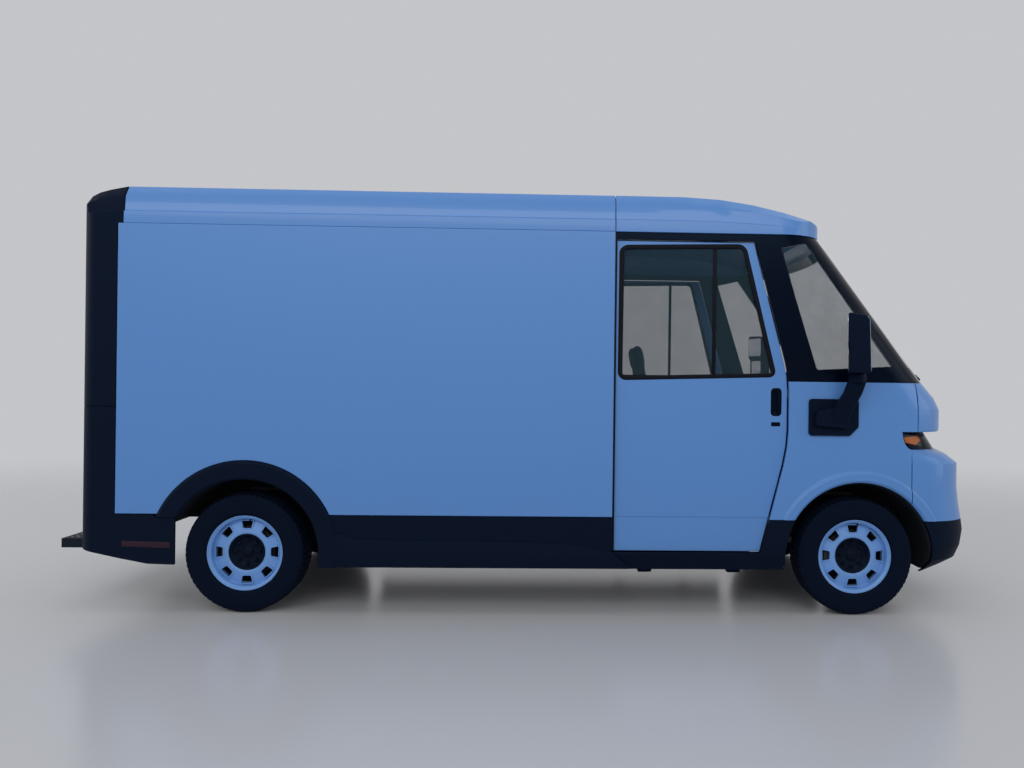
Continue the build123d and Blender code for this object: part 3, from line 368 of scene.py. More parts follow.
def spun(name, profile, steps=96, angle=2 * pi, closed=True):
    """Ring turned round the wheel's axis from a profile of (outboard, radius) pairs."""
    bpy.ops.mesh.primitive_circle_add(vertices=len(profile), fill_type="NOTHING")
    made = bpy.context.object
    made.name = name
    for vertex, (outboard, radius) in zip(made.data.vertices, profile):
        vertex.co = (0, -outboard, radius)
    open_mesh(made)
    bpy.ops.mesh.spin(steps=steps, angle=angle, center=(0, 0, 0), axis=(0, 1, 0))
    if closed:
        bpy.ops.mesh.select_all(action="SELECT")
        bpy.ops.mesh.remove_doubles(threshold=0.00005)
        bpy.ops.mesh.normals_make_consistent(inside=False)
    bpy.ops.object.mode_set(mode="OBJECT")
    return made


def flat_face(name, points, corner=0.0):
    """Face through points in a plane, its corners rounded, left open for editing."""
    bpy.ops.mesh.primitive_circle_add(vertices=len(points), fill_type="NGON")
    made = bpy.context.object
    made.name = name
    for vertex, place in zip(made.data.vertices, points):
        vertex.co = place
    open_mesh(made)
    if corner:
        bpy.ops.mesh.bevel(offset=corner, segments=5, affect="VERTICES")
        bpy.ops.mesh.select_all(action="SELECT")
    return made


def thickened(made, thickness):
    """Draws an open flat piece out along a vector, closes it and ends the editing."""
    bpy.ops.mesh.extrude_region_move(TRANSFORM_OT_translate={"value": thickness})
    bpy.ops.mesh.select_all(action="SELECT")
    bpy.ops.mesh.normals_make_consistent(inside=False)
    bpy.ops.object.mode_set(mode="OBJECT")
    return made


def plate(name, points, thickness, corner=0.0):
    """Flat shape through points in a plane, given a thickness vector."""
    return thickened(flat_face(name, points, corner), thickness)


def side_plate(name, outline, face, depth, corner=0.0):
    """Upright plate with an outline of (x, z) pairs, drawn inwards from its face plane."""
    return plate(name, [(x, face, z) for x, z in outline], (0, depth, 0), corner)


def side_band(name, outline, face, depth, width, corner):
    """Upright ring inside an outline of (x, z) pairs, drawn inwards from its face plane."""
    made = flat_face(name, [(x, face, z) for x, z in outline], corner)
    bpy.ops.mesh.inset(thickness=width, depth=0)
    bpy.ops.mesh.delete(type="FACE")
    bpy.ops.mesh.select_all(action="SELECT")
    return thickened(made, (0, depth, 0))


def round_wheel(piece, count):
    """Repeats a piece count times round the wheel's axis."""
    open_mesh(piece)
    bpy.ops.mesh.spin(steps=count - 1, dupli=True, angle=2 * pi * (count - 1) / count,
                      center=(0, 0, 0), axis=(0, 1, 0))
    bpy.ops.object.mode_set(mode="OBJECT")
    return piece


def carved(piece, cutter):
    """Cuts one closed piece by another, which is used up."""
    chosen(piece)
    cut = piece.modifiers.new("cut", "BOOLEAN")
    cut.operation = "DIFFERENCE"
    cut.solver = "EXACT"
    cut.object = cutter
    bpy.ops.object.modifier_apply(modifier=cut.name)
    bpy.data.objects.remove(cutter)
    return piece


rim_profile = (
    (0.030, 0.040), (0.034, 0.042), (0.034, 0.088), (0.038, 0.094), (0.046, 0.106),
    (0.056, 0.113), (0.060, 0.121), (0.060, 0.134), (0.057, 0.147), (0.052, 0.170),
    (0.048, 0.199), (0.046, 0.206), (0.050, 0.2105), (0.068, 0.2125), (0.084, 0.2150),
    (0.089, 0.2190), (0.0925, 0.2260), (0.0960, 0.2300), (0.0995, 0.2320), (0.0998, 0.2360),
    (0.0960, 0.2368), (0.0900, 0.2340), (0.0840, 0.2250), (0.0700, 0.2170), (0.0480, 0.2120),
    (0.0200, 0.2080), (-0.0600, 0.2120), (-0.0850, 0.2250), (-0.0920, 0.2360),
    (-0.0995, 0.2360), (-0.0985, 0.2320), (-0.0900, 0.2200), (-0.0600, 0.2060),
    (0.0200, 0.2020), (0.0360, 0.1980), (0.0410, 0.1700), (0.0450, 0.1400), (0.0480, 0.1240),
    (0.0380, 0.1080), (0.0280, 0.0940), (0.0260, 0.0420),
)
window = ((-0.038, 0.198), (0.038, 0.198), (0.027, 0.149), (-0.027, 0.149))
rim = spun("wheel_rim_front_right", rim_profile)
carved(rim, round_wheel(side_plate("window_cutter", window, -0.02, -0.08, 0.010), wheel_windows))
lip = ((-0.0445, 0.2045), (0.0445, 0.2045), (0.0325, 0.1430), (-0.0325, 0.1430))
lips = side_band("window_lip", lip, -0.040, -0.0185, 0.0068, 0.014)
open_mesh(lips)
bpy.ops.transform.rotate(value=radians(4.5), orient_axis="X",
                         center_override=(0, -0.055, 0.174))
bpy.ops.object.mode_set(mode="OBJECT")
rim = joined("wheel_rim_front_right", [rim, round_wheel(lips, wheel_windows)])

hub_profile = (
    (0.010, 0.000001), (0.050, 0.000001), (0.049, 0.020), (0.045, 0.032), (0.0385, 0.036),
    (0.0370, 0.040), (0.0375, 0.046), (0.0375, 0.080), (0.044, 0.091), (0.054, 0.101),
    (0.0615, 0.109), (0.0620, 0.1150), (0.050, 0.1150), (0.028, 0.100), (0.010, 0.090),
)
hub = spun("wheel_hub_front_right", hub_profile, 64)
nut_radius = 0.072
nut = [rod("nut", (0, -0.034, nut_radius), (0, -0.054, nut_radius), 0.0125, 6),
       rod("stud", (0, -0.050, nut_radius), (0, -0.062, nut_radius), 0.0062, 12),
       rod("washer", (0, -0.034, nut_radius), (0, -0.039, nut_radius), 0.0165, 20)]
hub = joined("wheel_hub_front_right", [hub, round_wheel(joined("nut", nut), 8)])
valve = rod("wheel_valve_front_right", (0.026, -0.050, 0.208), (0.024, -0.086, 0.204),
            0.0042, 12)
disc_profile = ((-0.030, 0.080), (-0.030, 0.158), (-0.026, 0.162), (-0.004, 0.162),
                (0.000, 0.158), (0.000, 0.080))
disc = spun("brake_disc_front_right", disc_profile, 64)
brake_iron = finish("brake_iron", (0.030, 0.029, 0.030), 0.5, metallic=0.8, film=0.4, grain=90.0,
                    film_color=(0.020, 0.019, 0.019))
shield_profile = ((-0.046, 0.050), (-0.046, 0.190), (-0.040, 0.1980), (0.014, 0.1975),
                  (0.014, 0.1955), (-0.036, 0.1960), (-0.041, 0.188), (-0.041, 0.050))
shield = spun("dust_shield_front_right", shield_profile, 64)
caliper = block("brake_caliper_front_right", (-0.178, -0.020, -0.075), (-0.118, 0.046, 0.075))
carved(caliper, block("disc_slot", (-0.170, -0.002, -0.08), (-0.10, 0.032, 0.08)))


# Tyres. One pitch of tread is modelled, two ribs and a shoulder row a side with a cross
# groove, and turned sixty-four times round; the side walls carry a rim guard and a bead.
# The tyre's navy base colour, the blue in its road film and the blue tint of its reflections are
# a painted blue cast of the light on black rubber.
tyre_rubber = finish("tyre_rubber", (0.0016, 0.0036, 0.0115), 0.72, specular=0.14, film=0.22,
                     film_color=(0.009, 0.013, 0.024), grain=420.0, depth=0.0008,
                     gleam=painted_blue_reflection_tint)
half_profile = (
    (0.0000, 0.3672), (0.0042, 0.3672), (0.0050, 0.3752), (0.0060, 0.3759), (0.0470, 0.3750),
    (0.0482, 0.3740), (0.0492, 0.3665), (0.0568, 0.3663), (0.0580, 0.3732), (0.0592, 0.3742),
    (0.0880, 0.3722), (0.0990, 0.3690), (0.1060, 0.3620), (0.1095, 0.3500), (0.1100, 0.3440),
    (0.1122, 0.3420), (0.1136, 0.3200), (0.1139, 0.3000), (0.1130, 0.2800), (0.1105, 0.2640),
    (0.1110, 0.2600), (0.1095, 0.2540), (0.1050, 0.2480), (0.1010, 0.2420), (0.0960, 0.2382),
    (0.0900, 0.2400), (0.0960, 0.2600), (0.1030, 0.2900), (0.1020, 0.3300), (0.0950, 0.3500),
    (0.0500, 0.3580),
)
tyre_profile = half_profile + ((0.0, 0.3595),) + tuple(
    (-outboard, radius) for outboard, radius in reversed(half_profile[1:]))
pitches, block_share, groove_depth, groove_foot = 64, 0.80, 0.0065, 0.355
middle_rib, shoulder = (0.006, 0.047), (0.0592, 0.1075)
pitch = 2 * pi / pitches
tyre = spun("tyre_rubber_front_right", tyre_profile, 2, pitch * block_share, closed=False)
bpy.ops.object.mode_set(mode="EDIT")
bpy.ops.mesh.spin(steps=1, angle=pitch * (1 - block_share), center=(0, 0, 0), axis=(0, 1, 0))
bpy.ops.mesh.select_all(action="DESELECT")
bpy.ops.mesh.select_mode(type="FACE")
bpy.ops.object.mode_set(mode="OBJECT")
far = max(abs(vertex.co.x) for vertex in tyre.data.vertices if vertex.co.z > 0.36)
for face in tyre.data.polygons:
    at_end = abs(face.center.x) > far * 0.86 and face.center.z > groove_foot
    face.select = at_end and any(inner < abs(face.center.y) < outer
                                 for inner, outer in (middle_rib, shoulder))
bpy.ops.object.mode_set(mode="EDIT")
bpy.ops.mesh.extrude_region_move(TRANSFORM_OT_translate={"value": (0, 0, -groove_depth)})
bpy.ops.mesh.select_mode(type="VERT")
bpy.ops.object.mode_set(mode="OBJECT")
open_mesh(round_wheel(tyre, pitches))
bpy.ops.mesh.remove_doubles(threshold=0.00005)
bpy.ops.mesh.normals_make_consistent(inside=False)
bpy.ops.object.mode_set(mode="OBJECT")

carriers = {"front_right": "knuckle_right", "front_left": "knuckle_left"}
for place in ("rear_right", "front_left", "rear_left", "front_right"):
    low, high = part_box("tyre_" + place)
    wheel, carrier = "wheel_" + place, carriers.get(place, "van_body")
    for piece, material, body, slot, edge, node in (
            (rim, wheel_enamel, wheel, "wheel_paint", 0.0022, "rim_"),
            (hub, hub_black, wheel, "gloss_black", 0.0012, None),
            (valve, hub_black, wheel, "gloss_black", 0.0008, None),
            (disc, brake_iron, wheel, "axle_iron", 0.001, None),
            (shield, frame_black, carrier, "frame_steel", 0, None),
            (caliper, rough_iron, carrier, "axle_iron", 0.006, None),
            (tyre, tyre_rubber, wheel, "tyre_rubber", 0, "tyre_")):
        name = piece.name.replace("front_right", place)
        made = piece if place == "front_right" else copied(piece, name)
        if place.endswith("left"):
            made.rotation_euler.z = pi
        made.location = (low + high) / 2
        settle(made, material, edge, angle=34, body=body)
        if node:
            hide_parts(node + place)


# Floors and inside walls. The load deck and cab floor have a ribbed rubber covering, and the
# walls are light grey composite sheet; the entry steps have raised aluminium tread strips.
floor_cover = finish("floor_covering", (0.040, 0.043, 0.050), 0.75, film=0.5, grain=240.0,
                     depth=0.0012)
wall_lining = finish("wall_lining", (0.30, 0.32, 0.35), 0.6, film=0.12, grain=320.0)
tread_metal = finish("tread_aluminium", (0.30, 0.31, 0.33), 0.42, metallic=0.9, film=0.4,
                     grain=260.0)
dress(floor_cover, "load_floor", "cab_floor", "entry_steps")
dress(wall_lining, "pocket_walls", "bulkhead", "bulkhead_door")

step_low, step_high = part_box("entry_steps")
strips = []
for number in range(7):
    y = step_low.y + 0.035 + number * 0.042
    strips.append(block("strip", (step_low.x + 0.07, y, step_low.z + 0.0295),
                        (step_high.x - 0.06, y + 0.014, step_low.z + 0.0345)))
both_sides(joined("step_strips_right", strips), tread_metal, 0.0015)
floor_low, floor_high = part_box("load_floor")
floor_ribs = []
for number in range(16):
    y = -0.585 + number * 0.078
    floor_ribs.append(block("rib", (floor_low.x + 0.06, y - 0.006, floor_high.z - 0.001),
                            (floor_high.x - 0.10, y + 0.006, floor_high.z + 0.003)))
settle(joined("load_floor_ribs", floor_ribs), floor_cover, 0.0012)


# Painted body. Steel and composite panels in enamel under a clear coat, with a faint orange
# peel and the slight wave of large flat sheets; their light blue is partly the enamel's own and
# partly a painted blue cast of the light. Each panel's edge is rolled, and a filler closes the
# gap between the cab roof and the top of each windscreen post.
def solid_copy(node, name):
    """Copy of a CAD piece with its loose triangles joined into faces."""
    made = copied(nodes[node], name)
    open_mesh(made)
    bpy.ops.mesh.remove_doubles(threshold=0.00003)
    bpy.ops.mesh.dissolve_limited(angle_limit=radians(0.4))
    bpy.ops.object.mode_set(mode="OBJECT")
    return made


def skin(name, material, edge=0.0, body="van_body", cutter=None):
    """Smooth copy of a CAD piece that stands for it, cut first where a cutter is given."""
    made = solid_copy(name, name + "_skin")
    if cutter:
        carved(made, cutter)
    settle(made, material, edge, 3, 32, body)
    shading = made.modifiers.new("shading", "WEIGHTED_NORMAL")
    shading.keep_sharp = True
    bpy.ops.object.modifier_apply(modifier=shading.name)
    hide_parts(name)


# The body's light blue is partly the enamel's own colour and partly a painted blue cast of the
# light.
body_paint_blue_cast = finish("body_blue_enamel", (0.092, 0.262, 0.625), 0.36, coat=0.35, specular=0.4,
                   film=0.10, grain=260.0, wave=6.0, depth=0.00018)
for name in ("side_panels", "load_roof", "cab_roof", "nose_panel", "front_fascia", "fenders"):
    skin(name, body_paint_blue_cast, 0.004)
for name in ("door_right", "door_left"):
    skin(name, body_paint_blue_cast, 0.004, name)
roof_corner = ((1.712, -1.0735), (1.718, -1.0700), (1.744, -1.0560), (1.776, -1.0330),
               (1.806, -1.0055))
roof_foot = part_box("load_roof")[0].z + 0.0002
filler = [(x, y + 0.0004, roof_foot) for x, y in roof_corner]
filler += [(x - 0.016, y + 0.024, roof_foot) for x, y in reversed(roof_corner)]
both_sides(plate("roof_corner_right", filler, (0, 0, 0.063)), body_paint_blue_cast)


# Dark mouldings. Unpainted grained plastic along the sill, round the arches, over the bumper
# and up the rear corners, and gloss black trim round the cab windows and the lamp slot.
# The navy in these blacks and in their dust, and the blue tint of their reflections, are a
# painted blue cast of the light; the dust itself is real.
trim_dust_blue_cast = (0.010, 0.015, 0.028)
grained_black = finish("grained_black_plastic", (0.0030, 0.0062, 0.0170), 0.50, specular=0.10,
                       film=0.16, film_color=trim_dust_blue_cast, grain=900.0, depth=0.0005,
                       gleam=painted_blue_reflection_tint)
gloss_black = finish("gloss_black", (0.0010, 0.0024, 0.0080), 0.20, specular=0.12, film=0.05,
                     film_color=trim_dust_blue_cast, grain=200.0, depth=0.0001, gleam=painted_blue_reflection_tint)
liner_felt = finish("liner_felt", (0.0075, 0.0095, 0.0150), 0.9, specular=0.1, film=0.5,
                    film_color=(0.030, 0.033, 0.040), grain=700.0, depth=0.0012)
for name, edge in (("front_bumper", 0.004), ("rockers", 0.006), ("rear_flares", 0.006),
                   ("rear_cladding", 0.005)):
    skin(name, grained_black, edge)
skin("rear_surround", grained_black, 0.004,
     cutter=block("post_seam", (-2.90, -1.2, 1.2925), (-2.50, 1.2, 1.2955)))
skin("wheel_liners", liner_felt)
for name in ("side_frames", "nose_band"):
    skin(name, gloss_black, 0.003)
blade = ((-1.232, 0.298), (-1.232, 0.520), (-1.085, 0.471), (-0.078, 0.464), (0.300, 0.447),
         (0.506, 0.405), (0.640, 0.298))
panel_low, panel_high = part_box("side_panels")
both_sides(side_plate("sill_blade_right", blade, panel_low.y + 0.002, -0.011, 0.020),
           grained_black, 0.006, 3)
both_sides(block("sill_ledge_right", (0.450, -1.090, 0.386), (1.500, -1.0270, 0.3985)),
           grained_black, 0.003)
jacking_pads = [block("pad", (x - 0.045, -1.03, 0.262), (x + 0.045, -0.97, 0.300))
                for x in (0.735, 1.310)]
both_sides(joined("jacking_pads_right", jacking_pads), grained_black, 0.010, 3)


# Glass. Laminated windscreen and toughened panes, faintly blue-green, their edges printed
# with a black border that breaks up into dots towards the clear part.
def outside_of(tree, coords, corners, axes="XZ", fray=0.0, speck=170.0):
    """Mask that is 0 inside a convex area drawn clockwise, and 1 outside, with a frayed edge."""
    split = axes_of(tree, coords)
    across, up = split[axes[0]], split[axes[1]]
    inside = None
    for (x0, z0), (x1, z1) in zip(corners, corners[1:] + corners[:1]):
        run = Vector((x1 - x0, z1 - z0)).normalized()
        distance = calc(tree, "ADD", calc(tree, "MULTIPLY", across, run.y),
                        calc(tree, "MULTIPLY", up, -run.x))
        distance = calc(tree, "SUBTRACT", distance, x0 * run.y - z0 * run.x)
        inside = distance if inside is None else calc(tree, "MINIMUM", inside, distance)
    dots = calc(tree, "SUBTRACT", noise(tree, coords, speck, 1.0, 0.4), 0.5)
    frayed = calc(tree, "ADD", inside, calc(tree, "MULTIPLY", dots, fray * 4))
    return ranged(tree, frayed, 0.002, -0.001)


def glazing(name, clear_area, axes="XZ", fray=0.0, haze=0.20):
    """Thin glass that is clear inside an area and printed black outside it."""
    made, tree, surface = blank(name)
    coords = object_place(tree)
    printed = outside_of(tree, coords, clear_area, axes, fray)
    dust = calc(tree, "MULTIPLY", noise(tree, coords, 9.0, 5.0, 0.6), 0.08)
    fed(tree, surface, {"Roughness": 0.03, "Specular IOR Level": 0.45,
                        "Base Color": mixed(tree, printed, (0.014, 0.052, 0.075), print_black),
                        "Alpha": calc(tree, "MAXIMUM", calc(tree, "ADD", dust, haze), printed)})
    return made


print_black = (0.0015, 0.0030, 0.0085)
quarter_glass = glazing("quarter_glass", ((1.585, 2.360), (1.757, 2.395), (2.306, 1.604),
                                          (1.811, 1.576)), fray=0.003)
screen_glass = glazing("screen_glass", ((-0.92, 2.385), (0.92, 2.385), (0.985, 1.60),
                                        (-0.985, 1.60)), axes="YZ", fray=0.004)
door_glass = glazing("door_glass", ((0.566, 2.338), (1.341, 2.350), (1.533, 1.545),
                                    (0.566, 1.522)), haze=0.24)
skin("windscreen", screen_glass, 0.001)
skin("quarter_panes", quarter_glass, 0.001)
dress(door_glass, "door_pane_right", "door_pane_left")


# Wipers. Two black steel arms from spindles in the cowl, each with a hinged blade that lies
# along the foot of the windscreen.
screen_foot = Vector((2.740, 0, 1.5))
screen_crown, screen_slope = 2.6, 0.7535
screen_out = Vector((1.0, 0, screen_slope)).normalized()


def on_screen(y, z, lift=0.0):
    """Point on the windscreen's outer face, lifted off it by a distance."""
    fall = screen_crown - (screen_crown ** 2 - y ** 2) ** 0.5
    place = Vector((screen_foot.x - (z - screen_foot.z) * screen_slope - fall, y, z))
    return place + lift * screen_out


def bent_rod(name, points, radius, sides=10):
    """Round bar through points, each bend filled by a ball."""
    pieces = [rod(name, start, end, radius, sides) for start, end in zip(points, points[1:])]
    for place in points[1:-1]:
        bpy.ops.mesh.primitive_uv_sphere_add(segments=sides, ring_count=sides // 2 + 1,
                                             radius=radius, location=place)
        pieces.append(bpy.context.object)
    return joined(name, pieces)


wiper_black = finish("wiper_black", (0.003, 0.004, 0.007), 0.5, specular=0.2, film=0.2,
                     film_color=trim_dust_blue_cast, grain=500.0)
for side, pivot_y, tip_y in (("right", -0.72, -0.10), ("left", 0.02, 0.64)):
    knee_y, middle_y = pivot_y + 0.06, (pivot_y + tip_y) / 2 + 0.05
    arm = bent_rod("arm", [on_screen(pivot_y, 1.522, 0.012), on_screen(knee_y, 1.538, 0.024),
                           on_screen(middle_y, 1.592, 0.026)], 0.0065)
    blade_points = [on_screen(knee_y + (tip_y - pivot_y) * share, 1.585 + 0.02 * share, 0.009)
                    for share in (0.0, 0.25, 0.5, 0.75, 1.0)]
    wiper = [arm, bent_rod("blade", blade_points, 0.0055),
             rod("spindle", on_screen(pivot_y, 1.522), on_screen(pivot_y, 1.522, 0.022), 0.014)]
    settle(joined("wiper_" + side, wiper), wiper_black)


# Door furniture, alike on both cab doors: a rubber seal round the pane, the dark upright bar
# of the sliding vent, a moulded pull in the hand pocket, and a lock cover below it. A dark
# rubber strip on the side panel's front edge is a painted shadow of the door pocket's entry.
seal_rubber = finish("seal_rubber", (0.002, 0.003, 0.007), 0.55, specular=0.12, film=0.1,
                     film_color=trim_dust_blue_cast, grain=600.0)
door = "door_right"
door_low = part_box(door)[0]
door_face = door_low.y
seal_outline = ((0.545, 1.495), (0.549, 2.362), (1.358, 2.380), (1.569, 1.526))
both_sides(side_band("door_seal_right", seal_outline, door_face - 0.0015, 0.012, 0.028, 0.052),
           seal_rubber, 0.003, body=door)
vent_bar = [block("bar", (x0, door_face + 0.0075, z0), (x1, door_face + 0.0115, z1))
            for x0, x1, z0, z1 in ((1.148, 1.172, 1.512, 2.362), (0.560, 1.560, 1.518, 1.532))]
both_sides(joined("vent_bar_right", vent_bar), seal_rubber, 0.0015, body=door)
pull_outline = ((1.5315, 1.279), (1.5315, 1.456), (1.5985, 1.456), (1.5985, 1.279))
scoop_outline = ((1.541, 1.290), (1.541, 1.445), (1.574, 1.445), (1.574, 1.290))
cover_outline = ((1.533, 1.212), (1.533, 1.239), (1.592, 1.239), (1.592, 1.212))
pull = side_plate("door_pull_right", pull_outline, door_face - 0.0005, 0.0215, 0.025)
carved(pull, side_plate("scoop", scoop_outline, door_face - 0.008, 0.022, 0.014))
both_sides(pull, gloss_black, 0.002, body=door)
both_sides(side_plate("lock_cover_right", cover_outline, door_face - 0.0015, 0.004, 0.006),
           gloss_black, 0.001, body=door)
# A dark rubber strip on the side panel's front edge: a painted shadow of the door pocket's entry.
pocket_shadow_strip = block("pocket_seal_right", (panel_high.x, panel_low.y + 0.004, door_low.z + 0.002),
              (panel_high.x + 0.013, panel_low.y + 0.025, panel_high.z - 0.005))
both_sides(pocket_shadow_strip, seal_rubber, 0.004)


# Door mirrors. A grained arm out of a gloss base on each fender, a collar, and a tall head
# with a pale bead down its outer front corner, a painted highlight of the housing's edge, and
# two panes of mirror glass on its swept rear face, the lower one for the kerb.
mirror_silver = finish("mirror_silver", (0.70, 0.72, 0.75), 0.03, metallic=1.0, film=0.0,
                       grain=60.0, depth=0.0)
painted_highlight_satin = finish("satin_edge", (0.20, 0.27, 0.33), 0.35, metallic=0.3, film=0.05, grain=300.0)
skin("mirror_arms", grained_black, 0.006)
skin("mirror_heads", grained_black, 0.004)
both_sides(rod("mirror_collar_right", (2.034, -1.232, 1.498), (2.034, -1.232, 1.558), 0.050, 40),
           grained_black, 0.010, 3)
mirror_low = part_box("mirror_heads")[0]
# The pale bead down the head's outer front corner is a painted highlight of the housing's edge.
bead = [(x, mirror_low.y + 0.0045, z)
        for x, z in ((2.0735, 1.572), (2.0700, 1.700), (2.0620, 1.884), (2.0480, 1.904))]
both_sides(bent_rod("mirror_edge_right", bead, 0.0038, 8), painted_highlight_satin)
outer_corner, sweep = Vector((1.929, mirror_low.y, 0)), Vector((0.078, 0.200, 0)).normalized()
outwards = Vector((-sweep.y, sweep.x, 0))
panes = []
for from_edge, low, high in ((0.016, 1.744, 1.902), (0.060, 1.574, 1.698)):
    corners = [outer_corner + sweep * along + outwards * 0.0002 + Vector((0, 0, z))
               for along, z in ((from_edge, low), (from_edge, high), (0.198, high), (0.198, low))]
    panes.append(plate("pane", corners, outwards * 0.003, 0.016))
both_sides(joined("mirror_panes_right", panes), mirror_silver, 0.0008)


# Lamps. Behind each clear headlamp lens are a black tray and three projector barrels in
# bright rings. The side marker is amber in a black bezel, the tail lamp ribbed red, a long
# reflector sits low on each rear corner, and a row of stop lamps is high above the door.
amber = (0.42, 0.10, 0.005)
amber_lens = finish("amber_lens", amber, 0.2, specular=0.3, film=0.05, grain=120.0)
tree = amber_lens.node_tree
bezel = outside_of(tree, object_place(tree), ((2.398, 1.148), (2.505, 1.159), (2.528, 1.128),
                                              (2.478, 1.098), (2.412, 1.106)))
fed(tree, tree.nodes["Principled BSDF"], {"Base Color": mixed(tree, bezel, amber, print_black)})
red_lens = finish("red_lens", (0.20, 0.004, 0.007), 0.15, coat=0.2, specular=0.3, film=0.05,
                  film_color=(0.05, 0.03, 0.03), grain=120.0)
dark_red = finish("reflector_red", (0.030, 0.010, 0.022), 0.3, specular=0.2, film=0.15,
                  film_color=(0.020, 0.016, 0.026), grain=900.0)
bright_ring = finish("lamp_bright_ring", (0.60, 0.62, 0.65), 0.12, metallic=1.0, film=0.0,
                     grain=80.0, depth=0.0)
dress(amber_lens, "side_markers")
dress(red_lens, "tail_lamps")
lens, tree, surface = blank("headlamp_lens")
specks = calc(tree, "MULTIPLY", noise(tree, object_place(tree), 30.0), 0.05)
fed(tree, surface, {"Base Color": (0.50, 0.54, 0.60), "Roughness": 0.04,
                    "Alpha": calc(tree, "ADD", specks, 0.10)})
skin("headlamps", lens, 0.002)
tray_back, tray_front, tray_foot, tray_top = 2.500, 2.575, 1.074, 1.182
tray = [block("tray", (tray_back, -0.875, z0), (x, -0.590, z1))
        for x, z0, z1 in ((tray_back + 0.010, tray_foot, tray_top),
                          (tray_front, tray_foot, tray_foot + 0.004),
                          (tray_front, tray_top - 0.004, tray_top))]
both_sides(joined("lamp_tray_right", tray), gloss_black, 0.001)
barrels, rings, lamp_z = [], [], 1.128
for y in (-0.665, -0.735, -0.805):
    barrels.append(rod("barrel", (2.505, y, lamp_z), (2.558, y, lamp_z), 0.0275, 32))
    rings.append(rod("ring", (2.556, y, lamp_z), (2.566, y, lamp_z), 0.0300, 32))
    bpy.ops.mesh.primitive_uv_sphere_add(segments=32, ring_count=16, radius=0.0235,
                                         location=(2.562, y, lamp_z))
    bpy.context.object.scale.x = 0.5
    bpy.ops.object.transform_apply()
    barrels.append(bpy.context.object)
rings.append(block("blade", (2.545, -0.852, 1.084), (2.560, -0.612, 1.089)))
both_sides(joined("lamp_rings_right", rings), bright_ring, 0.0015)
both_sides(joined("lamp_barrels_right", barrels), gloss_black, 0.001)
reflector = ((-2.548, 0.420), (-2.548, 0.455), (-2.252, 0.447), (-2.252, 0.412))
both_sides(side_plate("side_reflector_right", reflector, panel_low.y - 0.0015, 0.004, 0.004),
           dark_red, 0.001)
lamp_low, rib_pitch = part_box("tail_lamps")[0], 0.0385
ribs = [block("rib", (lamp_low.x - 0.003, lamp_low.y + 0.003, z),
              (lamp_low.x + 0.003, lamp_low.y + 0.041, z + 0.006))
        for z in [lamp_low.z + 0.016 + number * rib_pitch for number in range(12)]]
both_sides(joined("tail_lamp_ribs_right", ribs), red_lens, 0.002)
rear_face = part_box("rear_surround")[0].x
high_lamps = [block("lamp", (rear_face - 0.005, y - half, z0), (rear_face + 0.003, y + half, z1))
              for y, half, z0, z1 in ((0, 0.16, 2.470, 2.492), (-0.15, 0.035, 2.512, 2.528),
                                      (0, 0.035, 2.512, 2.528), (0.15, 0.035, 2.512, 2.528))]
settle(joined("high_level_lamps", high_lamps), red_lens, 0.003)


# Rear end. A roll-up shutter of aluminium slats runs in side guides, with a lift handle and a
# latch, and the step's tread is raised in rows of studs.
shutter_coat = finish("shutter_coat", (0.42, 0.45, 0.51), 0.42, coat=0.15, film=0.35,
                      grain=300.0, wave=3.0, depth=0.0003)
handle_steel = finish("handle_steel", (0.32, 0.33, 0.35), 0.35, metallic=0.9, film=0.3,
                      grain=220.0)
skin("rear_door", shutter_coat, 0.0015)
low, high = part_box("rear_door")
face_x, lift_z = low.x, low.z + 0.225
both_sides(block("shutter_guide_right", (face_x - 0.005, low.y - 0.002, low.z),
                 (face_x + 0.001, low.y + 0.022, high.z - 0.03)),
           handle_steel, 0.0015)
lift = bent_rod("lift_handle", [(face_x, -0.10, lift_z), (face_x - 0.042, -0.09, lift_z),
                                (face_x - 0.042, 0.09, lift_z), (face_x, 0.10, lift_z)],
                0.008, 16)
settle(lift, handle_steel)
latch = [block("plate", (face_x - 0.004, -0.07, lift_z - 0.165),
               (face_x + 0.001, 0.07, lift_z - 0.055)),
         rod("boss", (face_x - 0.004, 0, lift_z - 0.11), (face_x - 0.022, 0, lift_z - 0.11),
             0.026, 32),
         block("lever", (face_x - 0.034, -0.014, lift_z - 0.122),
               (face_x - 0.020, 0.095, lift_z - 0.098))]
settle(joined("shutter_latch", latch), handle_steel, 0.003)
settle(block("shutter_seal", (face_x - 0.003, -0.955, low.z),
             (face_x + 0.004, 0.955, low.z + 0.028)), seal_rubber, 0.004)
tread_low, tread_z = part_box("rear_step")[0], 0.4325
studs = []
for column in range(58):
    for row in range(4):
        place = (tread_low.x + 0.045 + row * 0.042 + 0.021 * (column % 2),
                 tread_low.y + 0.045 + column * 0.0300)
        studs.append(rod("stud", (*place, tread_z), (*place, tread_z + 0.004), 0.007, 8))
settle(joined("step_studs", studs), tread_metal, angle=30)
both_sides(block("rear_reflector_right", (rear_face - 0.0045, -0.93, 0.575),
                 (rear_face + 0.0015, -0.83, 0.605)), dark_red, 0.002)


